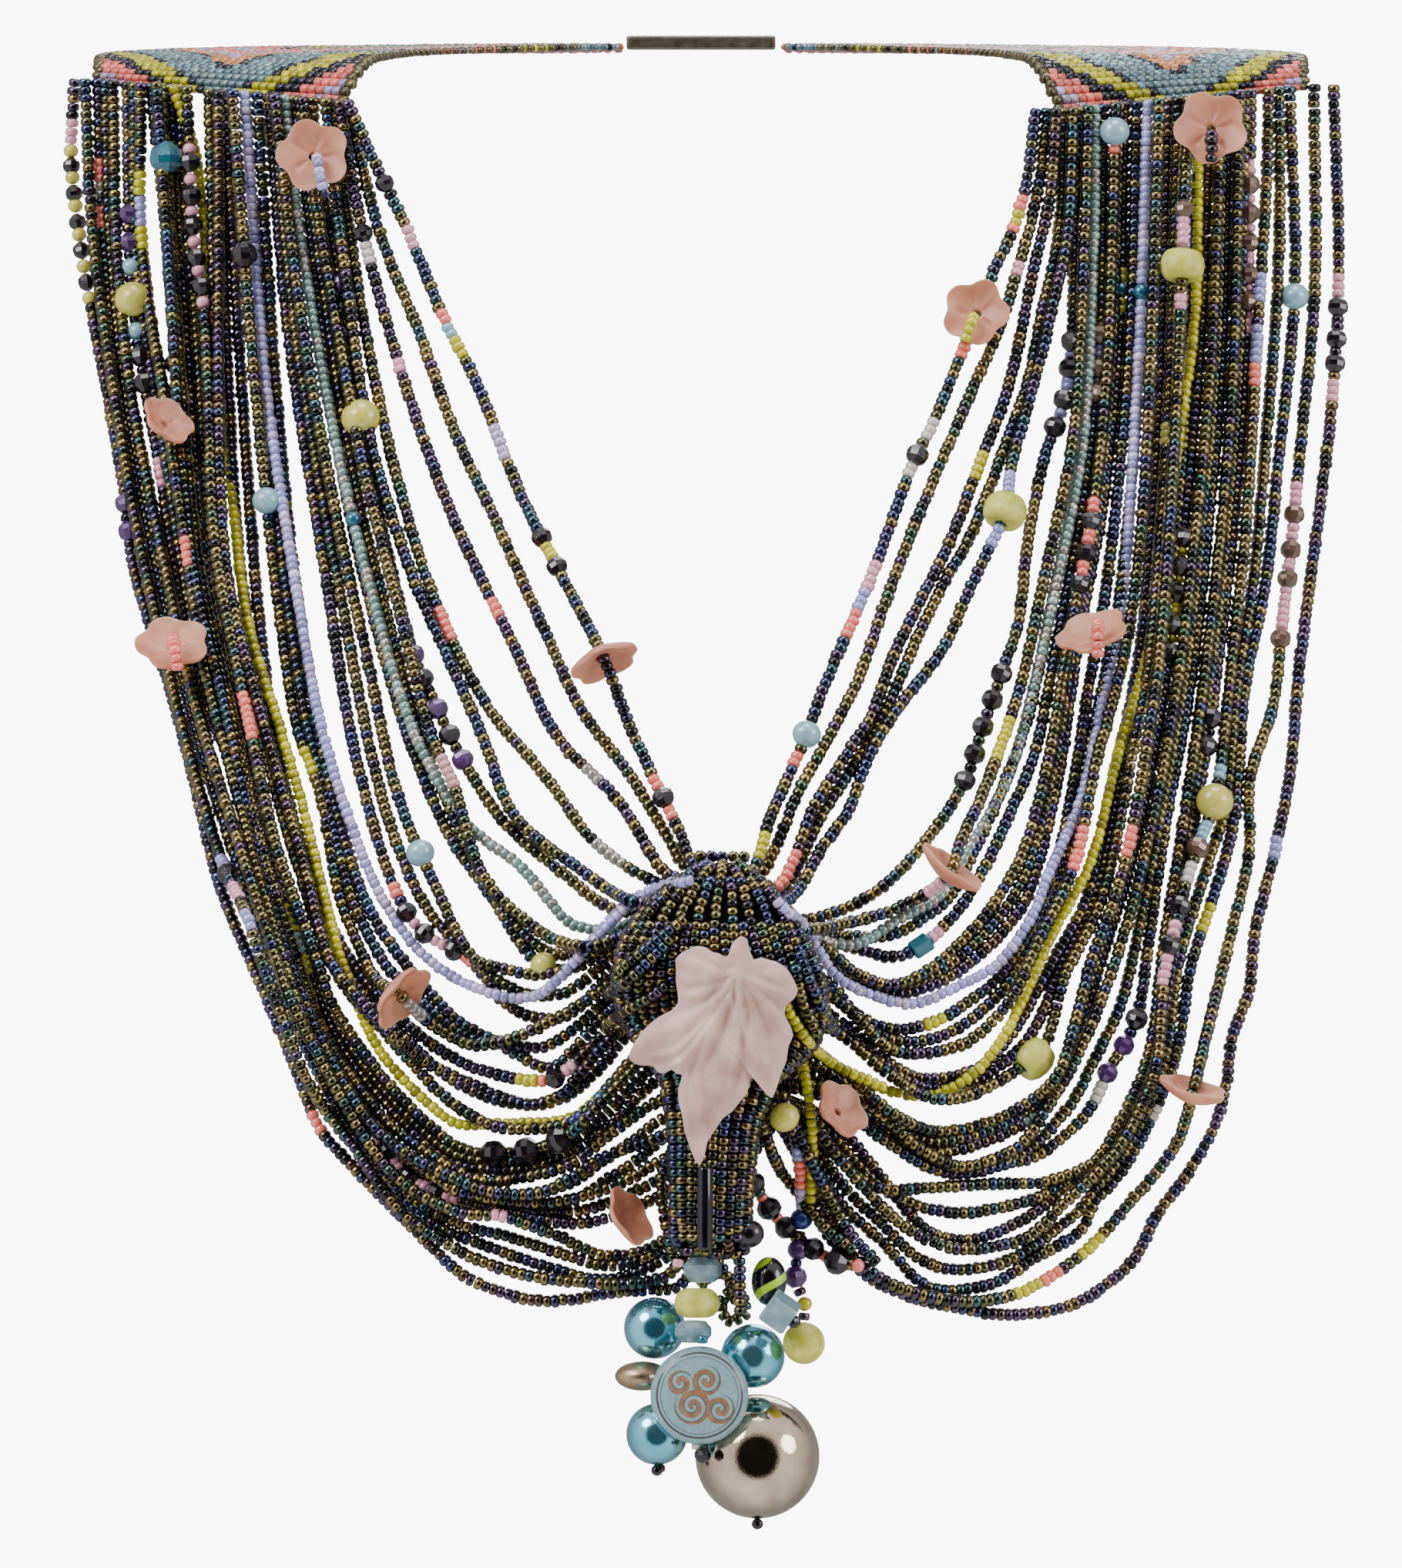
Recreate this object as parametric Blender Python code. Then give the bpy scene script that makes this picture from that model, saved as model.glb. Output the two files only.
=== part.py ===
"""A beaded shoulder harness: two woven shoulder bands closed behind the neck, twenty-seven strings
of seed beads hanging from band to band in front, gathered in the middle by a hump, with a leaf,
a cluster of drops and threaded flowers. Lengths are in millimetres until the mesh is made."""

import math

import bmesh
import bpy
import numpy as np
from mathutils import Matrix, Vector

OBJECT_NAME = "beaded_shoulder_harness"
MM = 0.001

# The front view is laid out in drawing units, x to the right and y down.
UNITS_PER_MM = 7.4
UNIT_X0 = 910.0
UNIT_Z0 = 60.0

# Seed-bead strings
STRING_RADIUS = 1.0
STRING_CLEARANCE = 0.36
STRING_TOLERANCE = 0.55
STRING_LONGEST = 34.0
STRING_SAMPLE = 0.7
STRING_TOP_GAP = 1.5

# Chest line that the strings lie on, from the shoulder down
CHEST_TOP = 38.0
CHEST_SWELL = 50.0
CHEST_REACH = 190.0
CHEST_ROUND = 300.0

# Flowers and round beads threaded on strings
FLOWER_RADIUS = 6.6
FLOWER_HOLE = 2.15
FLOWER_THICK = 1.5
FLOWER_DISH = 1.6
FLOWER_PETALS = 5
RONDELLE_HOLE = 1.8
THREAD_LEAN = 0.22

# Bands
BAND_THICK = 1.7
CLASP_SIZE = (26.6, 14.0, 2.4)
CLASP_CENTRE = (0.0, 62.0, 2.6)
CLASP_CLEARANCE = 0.7

# Leaf, tube and cluster
LEAF_THICK = 2.6
LEAF_GAP = 0.35
TUBE_RADIUS = 1.35
CLUSTER_BEHIND = 9.6

# name, colour slot, left route, right route, both from the band down to the middle
STRINGS = [
    ("string_01", "seed_dark",
     [(455, 135), (493, 225), (525, 290), (575, 410), (620, 500), (675, 640), (723, 735), (783, 853),
      (820, 948), (861, 1035), (878, 1070), (902, 1122)],
     [(1345, 150), (1335, 230), (1318, 290), (1285, 365), (1250, 455), (1213, 545), (1180, 615),
      (1140, 725), (1105, 810), (1070, 890), (1047, 953), (1020, 1015), (1000, 1060), (974, 1135)]),
    ("string_02", "seed_dark",
     [(450, 140), (465, 200), (495, 310), (545, 435), (590, 560), (650, 690), (710, 825), (754, 920),
      (818, 1006), (870, 1092), (896, 1130)],
     [(1360, 150), (1350, 240), (1330, 320), (1300, 420), (1265, 500), (1222, 600), (1180, 700),
      (1150, 780), (1110, 890), (1060, 985), (1035, 1030), (1015, 1080), (982, 1142)]),
    ("string_03", "seed_dark",
     [(440, 135), (470, 300), (518, 475), (560, 600), (605, 710), (668, 840), (722, 954), (802, 1038),
      (848, 1112), (870, 1136)],
     [(1372, 150), (1365, 250), (1345, 340), (1310, 500), (1273, 599), (1235, 699), (1205, 759),
      (1160, 850), (1130, 930), (1095, 985), (1055, 1050), (1030, 1115), (1005, 1152)]),
    ("string_04", "seed_dark",
     [(430, 135), (460, 350), (485, 490), (520, 640), (565, 780), (630, 912), (710, 1010), (772, 1092),
      (852, 1144)],
     [(1383, 150), (1376, 300), (1350, 420), (1333, 502), (1299, 595), (1258, 699), (1224, 759),
      (1185, 840), (1150, 920), (1110, 990), (1064, 1062), (1042, 1110), (1012, 1158)]),
    ("string_05", "seed_dark",
     [(422, 130), (440, 300), (478, 560), (532, 740), (576, 840), (630, 964), (668, 1058), (748, 1124),
      (825, 1170)],
     [(1394, 152), (1388, 300), (1362, 420), (1342, 500), (1314, 601), (1305, 663), (1285, 710),
      (1256, 771), (1225, 840), (1180, 900), (1145, 950), (1120, 1000), (1102, 1050), (1067, 1100),
      (1018, 1170)]),
    ("string_06", "seed_dark",
     [(405, 125), (410, 205), (435, 340), (453, 470), (465, 530), (500, 705), (537, 850), (568, 920),
      (601, 986), (656, 1068), (730, 1132), (800, 1180)],
     [(1404, 152), (1397, 300), (1393, 445), (1383, 517), (1358, 589), (1335, 701), (1322, 810),
      (1300, 874), (1276, 943), (1252, 1013), (1210, 1080), (1155, 1142), (1100, 1177), (1035, 1194)]),
    ("string_07", "seed_seafoam",
     [(368, 125), (385, 290), (430, 550), (475, 740), (535, 945), (603, 1065), (678, 1126), (739, 1196),
      (790, 1206), (840, 1192)],
     [(1424, 150), (1422, 300), (1408, 560), (1376, 740), (1340, 900), (1310, 1005), (1265, 1090),
      (1222, 1160), (1165, 1192), (1110, 1225), (1040, 1216)]),
    ("string_08", "seed_dark",
     [(392, 125), (415, 300), (470, 600), (520, 800), (559, 950), (590, 1020), (629, 1138), (701, 1208),
      (757, 1228), (805, 1215), (850, 1195)],
     [(1414, 152), (1410, 300), (1395, 560), (1358, 740), (1322, 900), (1275, 1030), (1247, 1090),
      (1232, 1132), (1200, 1160), (1140, 1187), (1075, 1202), (1035, 1206)]),
    ("string_09", "seed_dark",
     [(380, 125), (395, 250), (428, 520), (465, 720), (526, 944), (581, 1079), (638, 1163), (685, 1235),
      (720, 1258), (760, 1250), (820, 1215)],
     [(1435, 150), (1430, 450), (1405, 660), (1375, 820), (1345, 970), (1310, 1057), (1277, 1127),
      (1240, 1185), (1195, 1227), (1157, 1241), (1100, 1227), (1055, 1212)]),
    ("string_10", "seed_dark",
     [(355, 125), (388, 400), (430, 640), (477, 856), (515, 1027), (565, 1148), (613, 1240), (660, 1258),
      (700, 1264), (740, 1255), (830, 1205)],
     [(1450, 150), (1440, 450), (1420, 660), (1390, 820), (1360, 990), (1330, 1100), (1295, 1165),
      (1257, 1212), (1210, 1255), (1160, 1277), (1110, 1262), (1060, 1225)]),
    ("string_11", "seed_dark",
     [(345, 125), (375, 450), (415, 700), (455, 950), (499, 1115), (540, 1200), (612, 1247), (656, 1300),
      (690, 1318), (730, 1320), (760, 1298), (830, 1235)],
     [(1463, 148), (1455, 450), (1432, 660), (1402, 820), (1375, 1000), (1337, 1155), (1300, 1210),
      (1240, 1262), (1180, 1287), (1130, 1287), (1060, 1238)]),
    ("string_12", "seed_lavender",
     [(315, 130), (328, 330), (350, 550), (390, 800), (419, 950), (449, 1049), (488, 1148), (537, 1225),
      (592, 1269), (667, 1295), (712, 1282), (778, 1210), (814, 1172), (865, 1147), (898, 1142)],
     [(1492, 145), (1483, 400), (1472, 600), (1458, 780), (1430, 920), (1402, 1040), (1362, 1130),
      (1337, 1192), (1295, 1250), (1247, 1277), (1190, 1301), (1135, 1292), (1085, 1265), (1055, 1220),
      (1040, 1197), (1007, 1170)]),
    ("string_13", "seed_dark",
     [(332, 130), (352, 450), (378, 720), (416, 961), (452, 1104), (485, 1189), (537, 1263), (595, 1324),
      (641, 1349), (708, 1385), (735, 1372), (820, 1290)],
     [(1478, 146), (1468, 450), (1440, 740), (1412, 900), (1385, 1060), (1350, 1180), (1295, 1268),
      (1252, 1302), (1212, 1326), (1160, 1335), (1110, 1315), (1065, 1270)]),
    ("string_14", "seed_dark",
     [(300, 127), (325, 450), (355, 740), (383, 933), (416, 1032), (444, 1170), (487, 1269), (518, 1288),
      (559, 1327), (608, 1354), (650, 1351), (688, 1338), (760, 1300), (820, 1262)],
     [(1507, 145), (1495, 450), (1485, 660), (1462, 840), (1420, 1000), (1395, 1120), (1345, 1225),
      (1315, 1290), (1265, 1345), (1210, 1365), (1155, 1360), (1065, 1285)]),
    ("string_15", "seed_dark",
     [(288, 125), (308, 450), (335, 800), (365, 1000), (410, 1150), (452, 1240), (518, 1319), (597, 1376),
      (669, 1398), (721, 1398), (775, 1350), (840, 1285)],
     [(1520, 145), (1510, 450), (1498, 660), (1478, 860), (1445, 1010), (1412, 1160), (1362, 1255),
      (1310, 1345), (1270, 1385), (1209, 1399), (1168, 1388), (1065, 1310)]),
    ("string_16", "seed_dark",
     [(268, 122), (287, 700), (339, 950), (380, 1100), (436, 1260), (498, 1335), (570, 1415), (625, 1453),
      (669, 1464), (747, 1452), (820, 1375), (845, 1345)],
     [(1532, 145), (1522, 450), (1510, 660), (1492, 860), (1462, 1020), (1432, 1160), (1380, 1270),
      (1362, 1340), (1340, 1373), (1306, 1396), (1256, 1421), (1204, 1423), (1150, 1390), (1065, 1330)]),
    ("string_17", "seed_lime",
     [(225, 115), (252, 200), (270, 400), (295, 600), (320, 800), (365, 950), (394, 1049), (419, 1151),
      (444, 1247), (487, 1352), (526, 1401), (570, 1442), (600, 1458), (647, 1457), (740, 1450),
      (780, 1420), (845, 1355)],
     [(1560, 140), (1555, 400), (1538, 530), (1517, 680), (1495, 830), (1452, 975), (1418, 1110),
      (1365, 1215), (1325, 1300), (1297, 1352), (1253, 1400), (1201, 1421), (1146, 1412), (1094, 1388),
      (1050, 1355), (1020, 1320)]),
    ("string_18", "seed_dark",
     [(239, 116), (248, 305), (260, 385), (268, 500), (277, 700), (326, 950), (360, 1100), (411, 1240),
      (438, 1313), (504, 1404), (564, 1464), (611, 1493), (684, 1492), (740, 1470), (810, 1400),
      (850, 1365)],
     [(1545, 143), (1537, 342), (1527, 560), (1512, 780), (1490, 960), (1457, 1130), (1415, 1250),
      (1377, 1385), (1336, 1429), (1281, 1456), (1215, 1467), (1160, 1445), (1060, 1368)]),
    ("string_19", "seed_dark",
     [(217, 115), (262, 700), (318, 950), (350, 1100), (397, 1240), (441, 1350), (500, 1430), (560, 1490),
      (600, 1512), (690, 1515), (780, 1470), (862, 1395)],
     [(1575, 140), (1565, 400), (1548, 600), (1525, 800), (1500, 970), (1465, 1130), (1425, 1260),
      (1388, 1390), (1336, 1451), (1275, 1481), (1209, 1495), (1154, 1467), (1080, 1410), (1022, 1388)]),
    ("string_20", "seed_dark",
     [(205, 113), (252, 700), (306, 950), (340, 1100), (385, 1240), (427, 1350), (490, 1440), (540, 1485),
      (620, 1530), (681, 1526), (740, 1510), (800, 1465), (862, 1425)],
     [(1588, 140), (1576, 450), (1554, 680), (1530, 880), (1497, 1060), (1462, 1200), (1420, 1320),
      (1375, 1410), (1325, 1484), (1281, 1506), (1242, 1512), (1187, 1485), (1120, 1430), (1016, 1400)]),
    ("string_21", "seed_dark",
     [(192, 112), (212, 300), (229, 520), (246, 700), (293, 950), (330, 1100), (375, 1240), (410, 1350),
      (479, 1435), (515, 1511), (586, 1552), (664, 1570), (740, 1559), (785, 1531), (830, 1503),
      (866, 1472)],
     [(1600, 140), (1591, 450), (1571, 680), (1548, 880), (1515, 1060), (1490, 1230), (1475, 1322),
      (1437, 1392), (1410, 1445), (1352, 1495), (1308, 1509), (1230, 1522), (1150, 1480), (1075, 1425),
      (1012, 1412)]),
    ("string_22", "seed_dark",
     [(178, 111), (178, 280), (190, 400), (205, 480), (229, 640), (240, 710), (262, 850), (300, 1000),
      (340, 1150), (390, 1310), (425, 1380), (500, 1475), (570, 1530), (610, 1548), (700, 1560),
      (790, 1540), (866, 1500)],
     [(1613, 138), (1605, 450), (1588, 680), (1564, 880), (1538, 1060), (1510, 1230), (1490, 1370),
      (1445, 1470), (1415, 1510), (1352, 1533), (1292, 1535), (1215, 1539), (1149, 1542), (1116, 1528),
      (1072, 1484), (1010, 1420)]),
    ("string_23", "seed_dark",
     [(160, 112), (163, 300), (170, 400), (183, 490), (205, 610), (225, 740), (262, 900), (315, 1030),
      (338, 1165), (375, 1290), (410, 1370), (470, 1446), (513, 1510), (549, 1539), (625, 1562),
      (716, 1583), (775, 1583), (866, 1545)],
     [(1628, 136), (1622, 450), (1604, 680), (1580, 880), (1552, 1060), (1525, 1230), (1500, 1370),
      (1455, 1480), (1377, 1545), (1325, 1583), (1256, 1608), (1201, 1594), (1160, 1548), (1130, 1510),
      (1090, 1465), (1010, 1428)]),
    ("string_24", "seed_dark",
     [(141, 108), (146, 300), (165, 500), (205, 700), (250, 900), (280, 1000), (345, 1200), (380, 1300),
      (460, 1450), (520, 1530), (600, 1572), (650, 1576), (720, 1600), (790, 1628), (866, 1605)],
     [(1652, 133), (1648, 250), (1638, 400), (1620, 680), (1598, 880), (1580, 1030), (1553, 1105),
      (1530, 1180), (1510, 1270), (1498, 1390), (1450, 1490), (1377, 1564), (1325, 1608), (1242, 1619),
      (1179, 1594), (1127, 1547), (1083, 1495), (1058, 1465), (1008, 1436)]),
    ("string_25", "seed_dark",
     [(122, 108), (127, 280), (150, 500), (192, 700), (240, 900), (268, 1000), (335, 1200), (372, 1300),
      (445, 1450), (505, 1530), (560, 1585), (645, 1620), (720, 1645), (790, 1658), (866, 1628)],
     [(1680, 125), (1686, 370), (1665, 580), (1645, 760), (1616, 905), (1605, 1054), (1578, 1156),
      (1545, 1257), (1532, 1345), (1512, 1412), (1462, 1510), (1420, 1560), (1400, 1598), (1341, 1632),
      (1286, 1665), (1204, 1668), (1143, 1608), (1094, 1564), (1062, 1510), (1048, 1470), (1006, 1444)]),
    ("string_26", "seed_dark",
     [(105, 110), (115, 300), (143, 500), (178, 700), (225, 900), (282, 1100), (322, 1190), (360, 1300),
      (405, 1410), (470, 1500), (520, 1568), (600, 1623), (680, 1652), (760, 1662), (810, 1664),
      (870, 1650)],
     [(1712, 112), (1712, 370), (1692, 580), (1679, 712), (1665, 828), (1655, 915), (1624, 1010),
      (1622, 1109), (1594, 1230), (1567, 1337), (1547, 1418), (1525, 1487), (1460, 1567), (1400, 1630),
      (1325, 1675), (1256, 1687), (1182, 1674), (1127, 1646), (1090, 1605), (1062, 1540), (1038, 1475),
      (1004, 1452)]),
    ("string_27", "seed_dark",
     [(90, 112), (86, 200), (100, 320), (120, 430), (155, 620), (172, 740), (215, 880), (250, 1010),
      (287, 1155), (345, 1290), (392, 1405), (417, 1465), (485, 1540), (550, 1605), (605, 1655),
      (675, 1682), (725, 1686), (790, 1676), (840, 1672), (885, 1664)],
     [(1738, 118), (1744, 330), (1735, 510), (1713, 690), (1690, 860), (1677, 999), (1657, 1101),
      (1630, 1208), (1622, 1285), (1600, 1345), (1592, 1405), (1575, 1465), (1540, 1525), (1502, 1575),
      (1470, 1635), (1420, 1677), (1375, 1697), (1303, 1705), (1242, 1695), (1190, 1684), (1127, 1655),
      (1080, 1610), (1052, 1550), (1030, 1490), (1002, 1460)]),
]

# Back to front: every other string first, then those between, then the ones that carry beads
LAYING_ORDER = [2, 4, 6, 9, 11, 13, 15, 19, 21, 23, 25, 27, 3, 7, 10, 20, 22, 24, 12, 17, 5, 16, 18, 14, 8, 26, 1]

# name, string, side, drawing x, drawing y, kind, radius, height along the string
THREADED = [
    ("flower_inner_left", 1, "left", 783, 853, "flower", 6.4, 0.0),
    ("flower_low_left", 14, "left", 518, 1288, "flower", 6.6, 0.0),
    ("flower_low_right", 8, "right", 1232, 1132, "flower", 6.6, 0.0),
    ("flower_outer_right", 26, "right", 1547, 1418, "flower", 6.2, 0.0),
    ("rondelle_inner_right", 5, "right", 1305, 663, "rondelle", 3.9, 5.4),
    ("rondelle_low_right", 16, "right", 1340, 1373, "rondelle", 3.6, 6.4),
    ("rondelle_top_right", 18, "right", 1537, 342, "rondelle", 4.0, 5.4),
]

# name, drawing x, drawing y, tilt of the top towards the back, roll in the view, radius
LYING_FLOWERS = [
    ("flower_top_left", 405, 200, 12.0, 0.0, 6.6),
    ("flower_top_right", 1576, 162, 12.0, 10.0, 6.7),
    ("flower_neck_right", 1268, 405, 18.0, 30.0, 6.1),
    ("flower_side_left", 224, 840, 48.0, 2.0, 6.7),
    ("flower_side_right", 1420, 826, 60.0, 18.0, 6.6),
    ("flower_hidden_left", 212, 548, 55.0, -40.0, 5.2),
    ("flower_drop_left", 812, 1580, 62.0, -60.0, 5.8),
    ("flower_drop_right", 1087, 1440, 52.0, -55.0, 5.6),
]

# Left band from its hanging edge over the shoulder to the nape: inner x y z, outer x y z.
# The last row, at the nape, follows the clasp.
BAND_ROWS = [
    (-63.4, -26.0, -9.5, -107.6, 1.0, -5.4),
    (-61.5, -24.2, -5.4, -107.3, 2.4, -2.6),
    (-59.6, -20.0, -2.4, -107.0, 6.0, -0.8),
    (-57.6, -12.0, -0.6, -106.5, 13.0, 0.0),
    (-55.4, 0.0, 0.1, -104.0, 24.0, 0.6),
    (-52.0, 15.0, 0.8, -97.0, 38.0, 1.2),
    (-46.0, 30.0, 1.4, -84.0, 54.0, 1.8),
    (-37.0, 42.0, 1.9, -64.0, 65.5, 2.2),
    (-25.5, 50.5, 2.4, -40.0, 69.0, 2.5),
    (
        -CLASP_SIZE[0] / 2 - CLASP_CLEARANCE, CLASP_CENTRE[1] - CLASP_SIZE[1] / 2, CLASP_CENTRE[2],
        -CLASP_SIZE[0] / 2 - CLASP_CLEARANCE, CLASP_CENTRE[1] + CLASP_SIZE[1] / 2, CLASP_CENTRE[2],
    ),
]
RIGHT_BAND_DROP = 1.6

# Gathered hump and the bundle under it: drawing y, drawing left, drawing right, thickness
HUMP_ROWS = [
    (1119, 915, 960, 4.0),
    (1130, 895, 978, 6.5),
    (1150, 865, 1003, 8.5),
    (1180, 830, 1028, 9.5),
    (1220, 803, 1050, 10.5),
    (1270, 792, 1073, 11.0),
    (1320, 802, 1078, 11.0),
    (1360, 830, 1060, 10.0),
    (1400, 856, 1012, 9.0),
    (1460, 866, 986, 9.0),
    (1540, 868, 978, 9.0),
    (1600, 868, 976, 8.0),
    (1618, 874, 974, 6.5),
    (1626, 946, 974, 4.6),
    (1704, 948, 972, 4.2),
]
HUMP_SIDES = 14

# Outline of the leaf in the drawing, from the stem round
LEAF_OUTLINE = [
    (966, 1211), (971, 1243), (998, 1241), (1024, 1254), (1036, 1280), (1030, 1298), (1019, 1312),
    (1031, 1344), (1019, 1374), (1008, 1402), (992, 1412), (975, 1392), (968, 1420), (950, 1448),
    (932, 1478), (917, 1507), (907, 1490), (901, 1455), (892, 1420), (888, 1393), (866, 1389),
    (850, 1381), (817, 1372), (832, 1344), (860, 1321), (881, 1300), (876, 1270), (879, 1243),
    (905, 1227), (926, 1231), (944, 1241), (948, 1214),
]

# Hanging cluster: name, slot, drawing x, drawing y, shape, radius, half height, behind the disc face
CLUSTER = [
    ("drop_rondelle_upper", "pale_blue_glass", 912, 1645, "rondelle", 3.4, 2.3, 4.4),
    ("drop_rondelle_yellow", "yellow_green_glass", 905, 1688, "rondelle", 4.0, 2.6, 4.0),
    ("drop_rondelle_lower", "pale_blue_glass", 900, 1725, "rondelle", 3.3, 2.0, 4.4),
    ("drop_pearl_upper", "turquoise_pearl", 850, 1721, "ball", 5.4, 0.0, 11.0),
    ("drop_pearl_right", "turquoise_pearl", 977, 1757, "ball", 5.6, 0.0, 8.6),
    ("drop_pearl_lower", "turquoise_pearl", 853, 1858, "ball_knob", 5.4, 0.0, 7.9),
    ("drop_disc_bronze", "bronze_metal", 834, 1783, "lentil", 4.8, 2.6, 9.6),
    ("drop_disc_scroll", "carved_disc", 908, 1807, "coin", 8.6, 2.4, 1.3),
    ("drop_pearl_big", "silver_pearl", 983, 1887, "ball_knob", 10.9, 0.0, 11.2),
    ("drop_bead_striped", "striped_glass", 998, 1660, "ball_tall", 3.1, 4.3, 5.4),
    ("drop_cube", "pale_blue_glass", 1012, 1699, "cube", 2.6, 2.6, 0.4),
    ("drop_bead_green", "yellow_green_glass", 1043, 1740, "ball", 3.7, 0.0, 5.6),
]

# slot: base colour, metallic, roughness
MATERIALS = {
    "seed_dark": ((0.10, 0.11, 0.13), 0.7, 0.25),
    "seed_lavender": ((0.55, 0.55, 0.80), 0.1, 0.3),
    "seed_lime": ((0.62, 0.66, 0.05), 0.1, 0.3),
    "seed_seafoam": ((0.45, 0.58, 0.57), 0.3, 0.3),
    "band_weave": ((0.45, 0.50, 0.45), 0.2, 0.3),
    "clasp_metal": ((0.30, 0.28, 0.24), 0.9, 0.35),
    "petal_glass": ((0.86, 0.52, 0.42), 0.0, 0.5),
    "leaf_glass": ((0.75, 0.60, 0.58), 0.0, 0.45),
    "tube_glass": ((0.05, 0.04, 0.07), 0.4, 0.1),
    "yellow_green_glass": ((0.72, 0.76, 0.25), 0.0, 0.4),
    "pale_blue_glass": ((0.45, 0.65, 0.72), 0.0, 0.15),
    "turquoise_pearl": ((0.18, 0.55, 0.68), 0.5, 0.15),
    "silver_pearl": ((0.72, 0.68, 0.64), 0.7, 0.12),
    "bronze_metal": ((0.50, 0.45, 0.35), 0.9, 0.25),
    "carved_disc": ((0.60, 0.68, 0.68), 0.1, 0.35),
    "striped_glass": ((0.10, 0.12, 0.08), 0.2, 0.15),
}


def drawn(px, py):
    """Millimetres from drawing units."""
    return ((px - UNIT_X0) / UNITS_PER_MM, (UNIT_Z0 - py) / UNITS_PER_MM)


def chest(x, z):
    """Depth of the chest line at x, z."""
    t = np.clip(-np.asarray(z, float) / CHEST_REACH, 0.0, 1.0)
    swell = t * t * (3.0 - 2.0 * t)
    return -(CHEST_TOP + CHEST_SWELL * swell) + np.asarray(x, float) ** 2 / CHEST_ROUND


def smooth(points, step):
    """Points every step along a smooth curve through the given ones."""
    p = np.array(points, float)
    p = np.vstack([2 * p[0] - p[1], p, 2 * p[-1] - p[-2]])
    out = []
    for i in range(1, len(p) - 2):
        a, b, c, d = p[i - 1], p[i], p[i + 1], p[i + 2]
        n = max(2, int(np.linalg.norm(c - b) / step))
        t = (np.arange(n) / n)[:, None]
        k1 = (c - a) / 2 * min(1.0, 2 * np.linalg.norm(c - b) / (np.linalg.norm(c - a) + 1e-9))
        k2 = (d - b) / 2 * min(1.0, 2 * np.linalg.norm(c - b) / (np.linalg.norm(d - b) + 1e-9))
        h00 = 2 * t ** 3 - 3 * t ** 2 + 1
        h10 = t ** 3 - 2 * t ** 2 + t
        h01 = -2 * t ** 3 + 3 * t ** 2
        h11 = t ** 3 - t ** 2
        out.append(h00 * b + h10 * k1 + h01 * c + h11 * k2)
    out.append(p[-2][None])
    return np.vstack(out)


def fewer(path, tolerance, longest, keep):
    """Fewest vertices of a path within a tolerance, with some kept whatever."""
    chosen = {0, len(path) - 1} | set(keep)
    marks = sorted(chosen)
    stack = list(zip(marks[:-1], marks[1:]))
    while stack:
        a, b = stack.pop()
        if b - a < 2:
            continue
        along = path[b] - path[a]
        length = np.linalg.norm(along) + 1e-9
        off = path[a + 1:b] - path[a]
        away = np.abs(off[:, 0] * along[1] - off[:, 1] * along[0]) / length
        worst = int(away.argmax())
        if away[worst] > tolerance:
            mid = a + 1 + worst
        elif length > longest:
            mid = (a + b) // 2
        else:
            continue
        chosen.add(mid)
        stack += [(a, mid), (mid, b)]
    return sorted(chosen)


def band_edge_z(x):
    """Height of the hanging edge of the band over x."""
    first = BAND_ROWS[0]
    inner, outer = abs(first[0]), abs(first[3])
    t = min(max((abs(x) - inner) / (outer - inner), 0.0), 1.0)
    drop = RIGHT_BAND_DROP * (1.0 - 0.4 * t) if x > 0 else 0.0
    return first[2] + (first[5] - first[2]) * t - drop


def string_path(left, right):
    """The whole route of a string in x and z, from the left band to the right band."""
    a = [drawn(*p) for p in left]
    b = [drawn(*p) for p in right]
    a[0] = (a[0][0], band_edge_z(a[0][0]) - STRING_TOP_GAP)
    b[0] = (b[0][0], band_edge_z(b[0][0]) - STRING_TOP_GAP)
    middle = ((a[-1][0] + b[-1][0]) / 2, (a[-1][1] + b[-1][1]) / 2)
    return smooth(a + [middle] + b[::-1], STRING_SAMPLE)


def forward_limit(xz, obstacles):
    """Depth at which a string clears everything laid before it, at each sample."""
    limit = chest(xz[:, 0], xz[:, 1])
    if not len(obstacles):
        return limit
    low = xz.min(axis=0) - 4.0
    high = xz.max(axis=0) + 4.0
    near = obstacles[
        (obstacles[:, 0] > low[0]) & (obstacles[:, 0] < high[0])
        & (obstacles[:, 1] > low[1]) & (obstacles[:, 1] < high[1])
    ]
    if not len(near):
        return limit
    d2 = (xz[:, None, 0] - near[None, :, 0]) ** 2 + (xz[:, None, 1] - near[None, :, 1]) ** 2
    room = near[None, :, 3] ** 2 - d2
    allowed = np.where(room > 0, near[None, :, 2] - np.sqrt(np.maximum(room, 0)), 1e9)
    return np.minimum(limit, allowed.min(axis=1))


def lay(vertices, obstacles, lifts):
    """Depth of each vertex so that the straight runs between them clear the strings behind."""
    depth = forward_limit(vertices, obstacles)
    for index, highest in lifts:
        depth[index] = min(depth[index], highest)
    for i in range(len(vertices) - 1):
        n = max(2, int(np.linalg.norm(vertices[i + 1] - vertices[i]) / STRING_SAMPLE))
        t = np.linspace(0, 1, n + 1)[:, None]
        xz = vertices[i] * (1 - t) + vertices[i + 1] * t
        line = depth[i] * (1 - t[:, 0]) + depth[i + 1] * t[:, 0]
        over = (line - forward_limit(xz, obstacles)).max()
        if over > 0:
            depth[i] -= over
            depth[i + 1] -= over
    return depth


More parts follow.
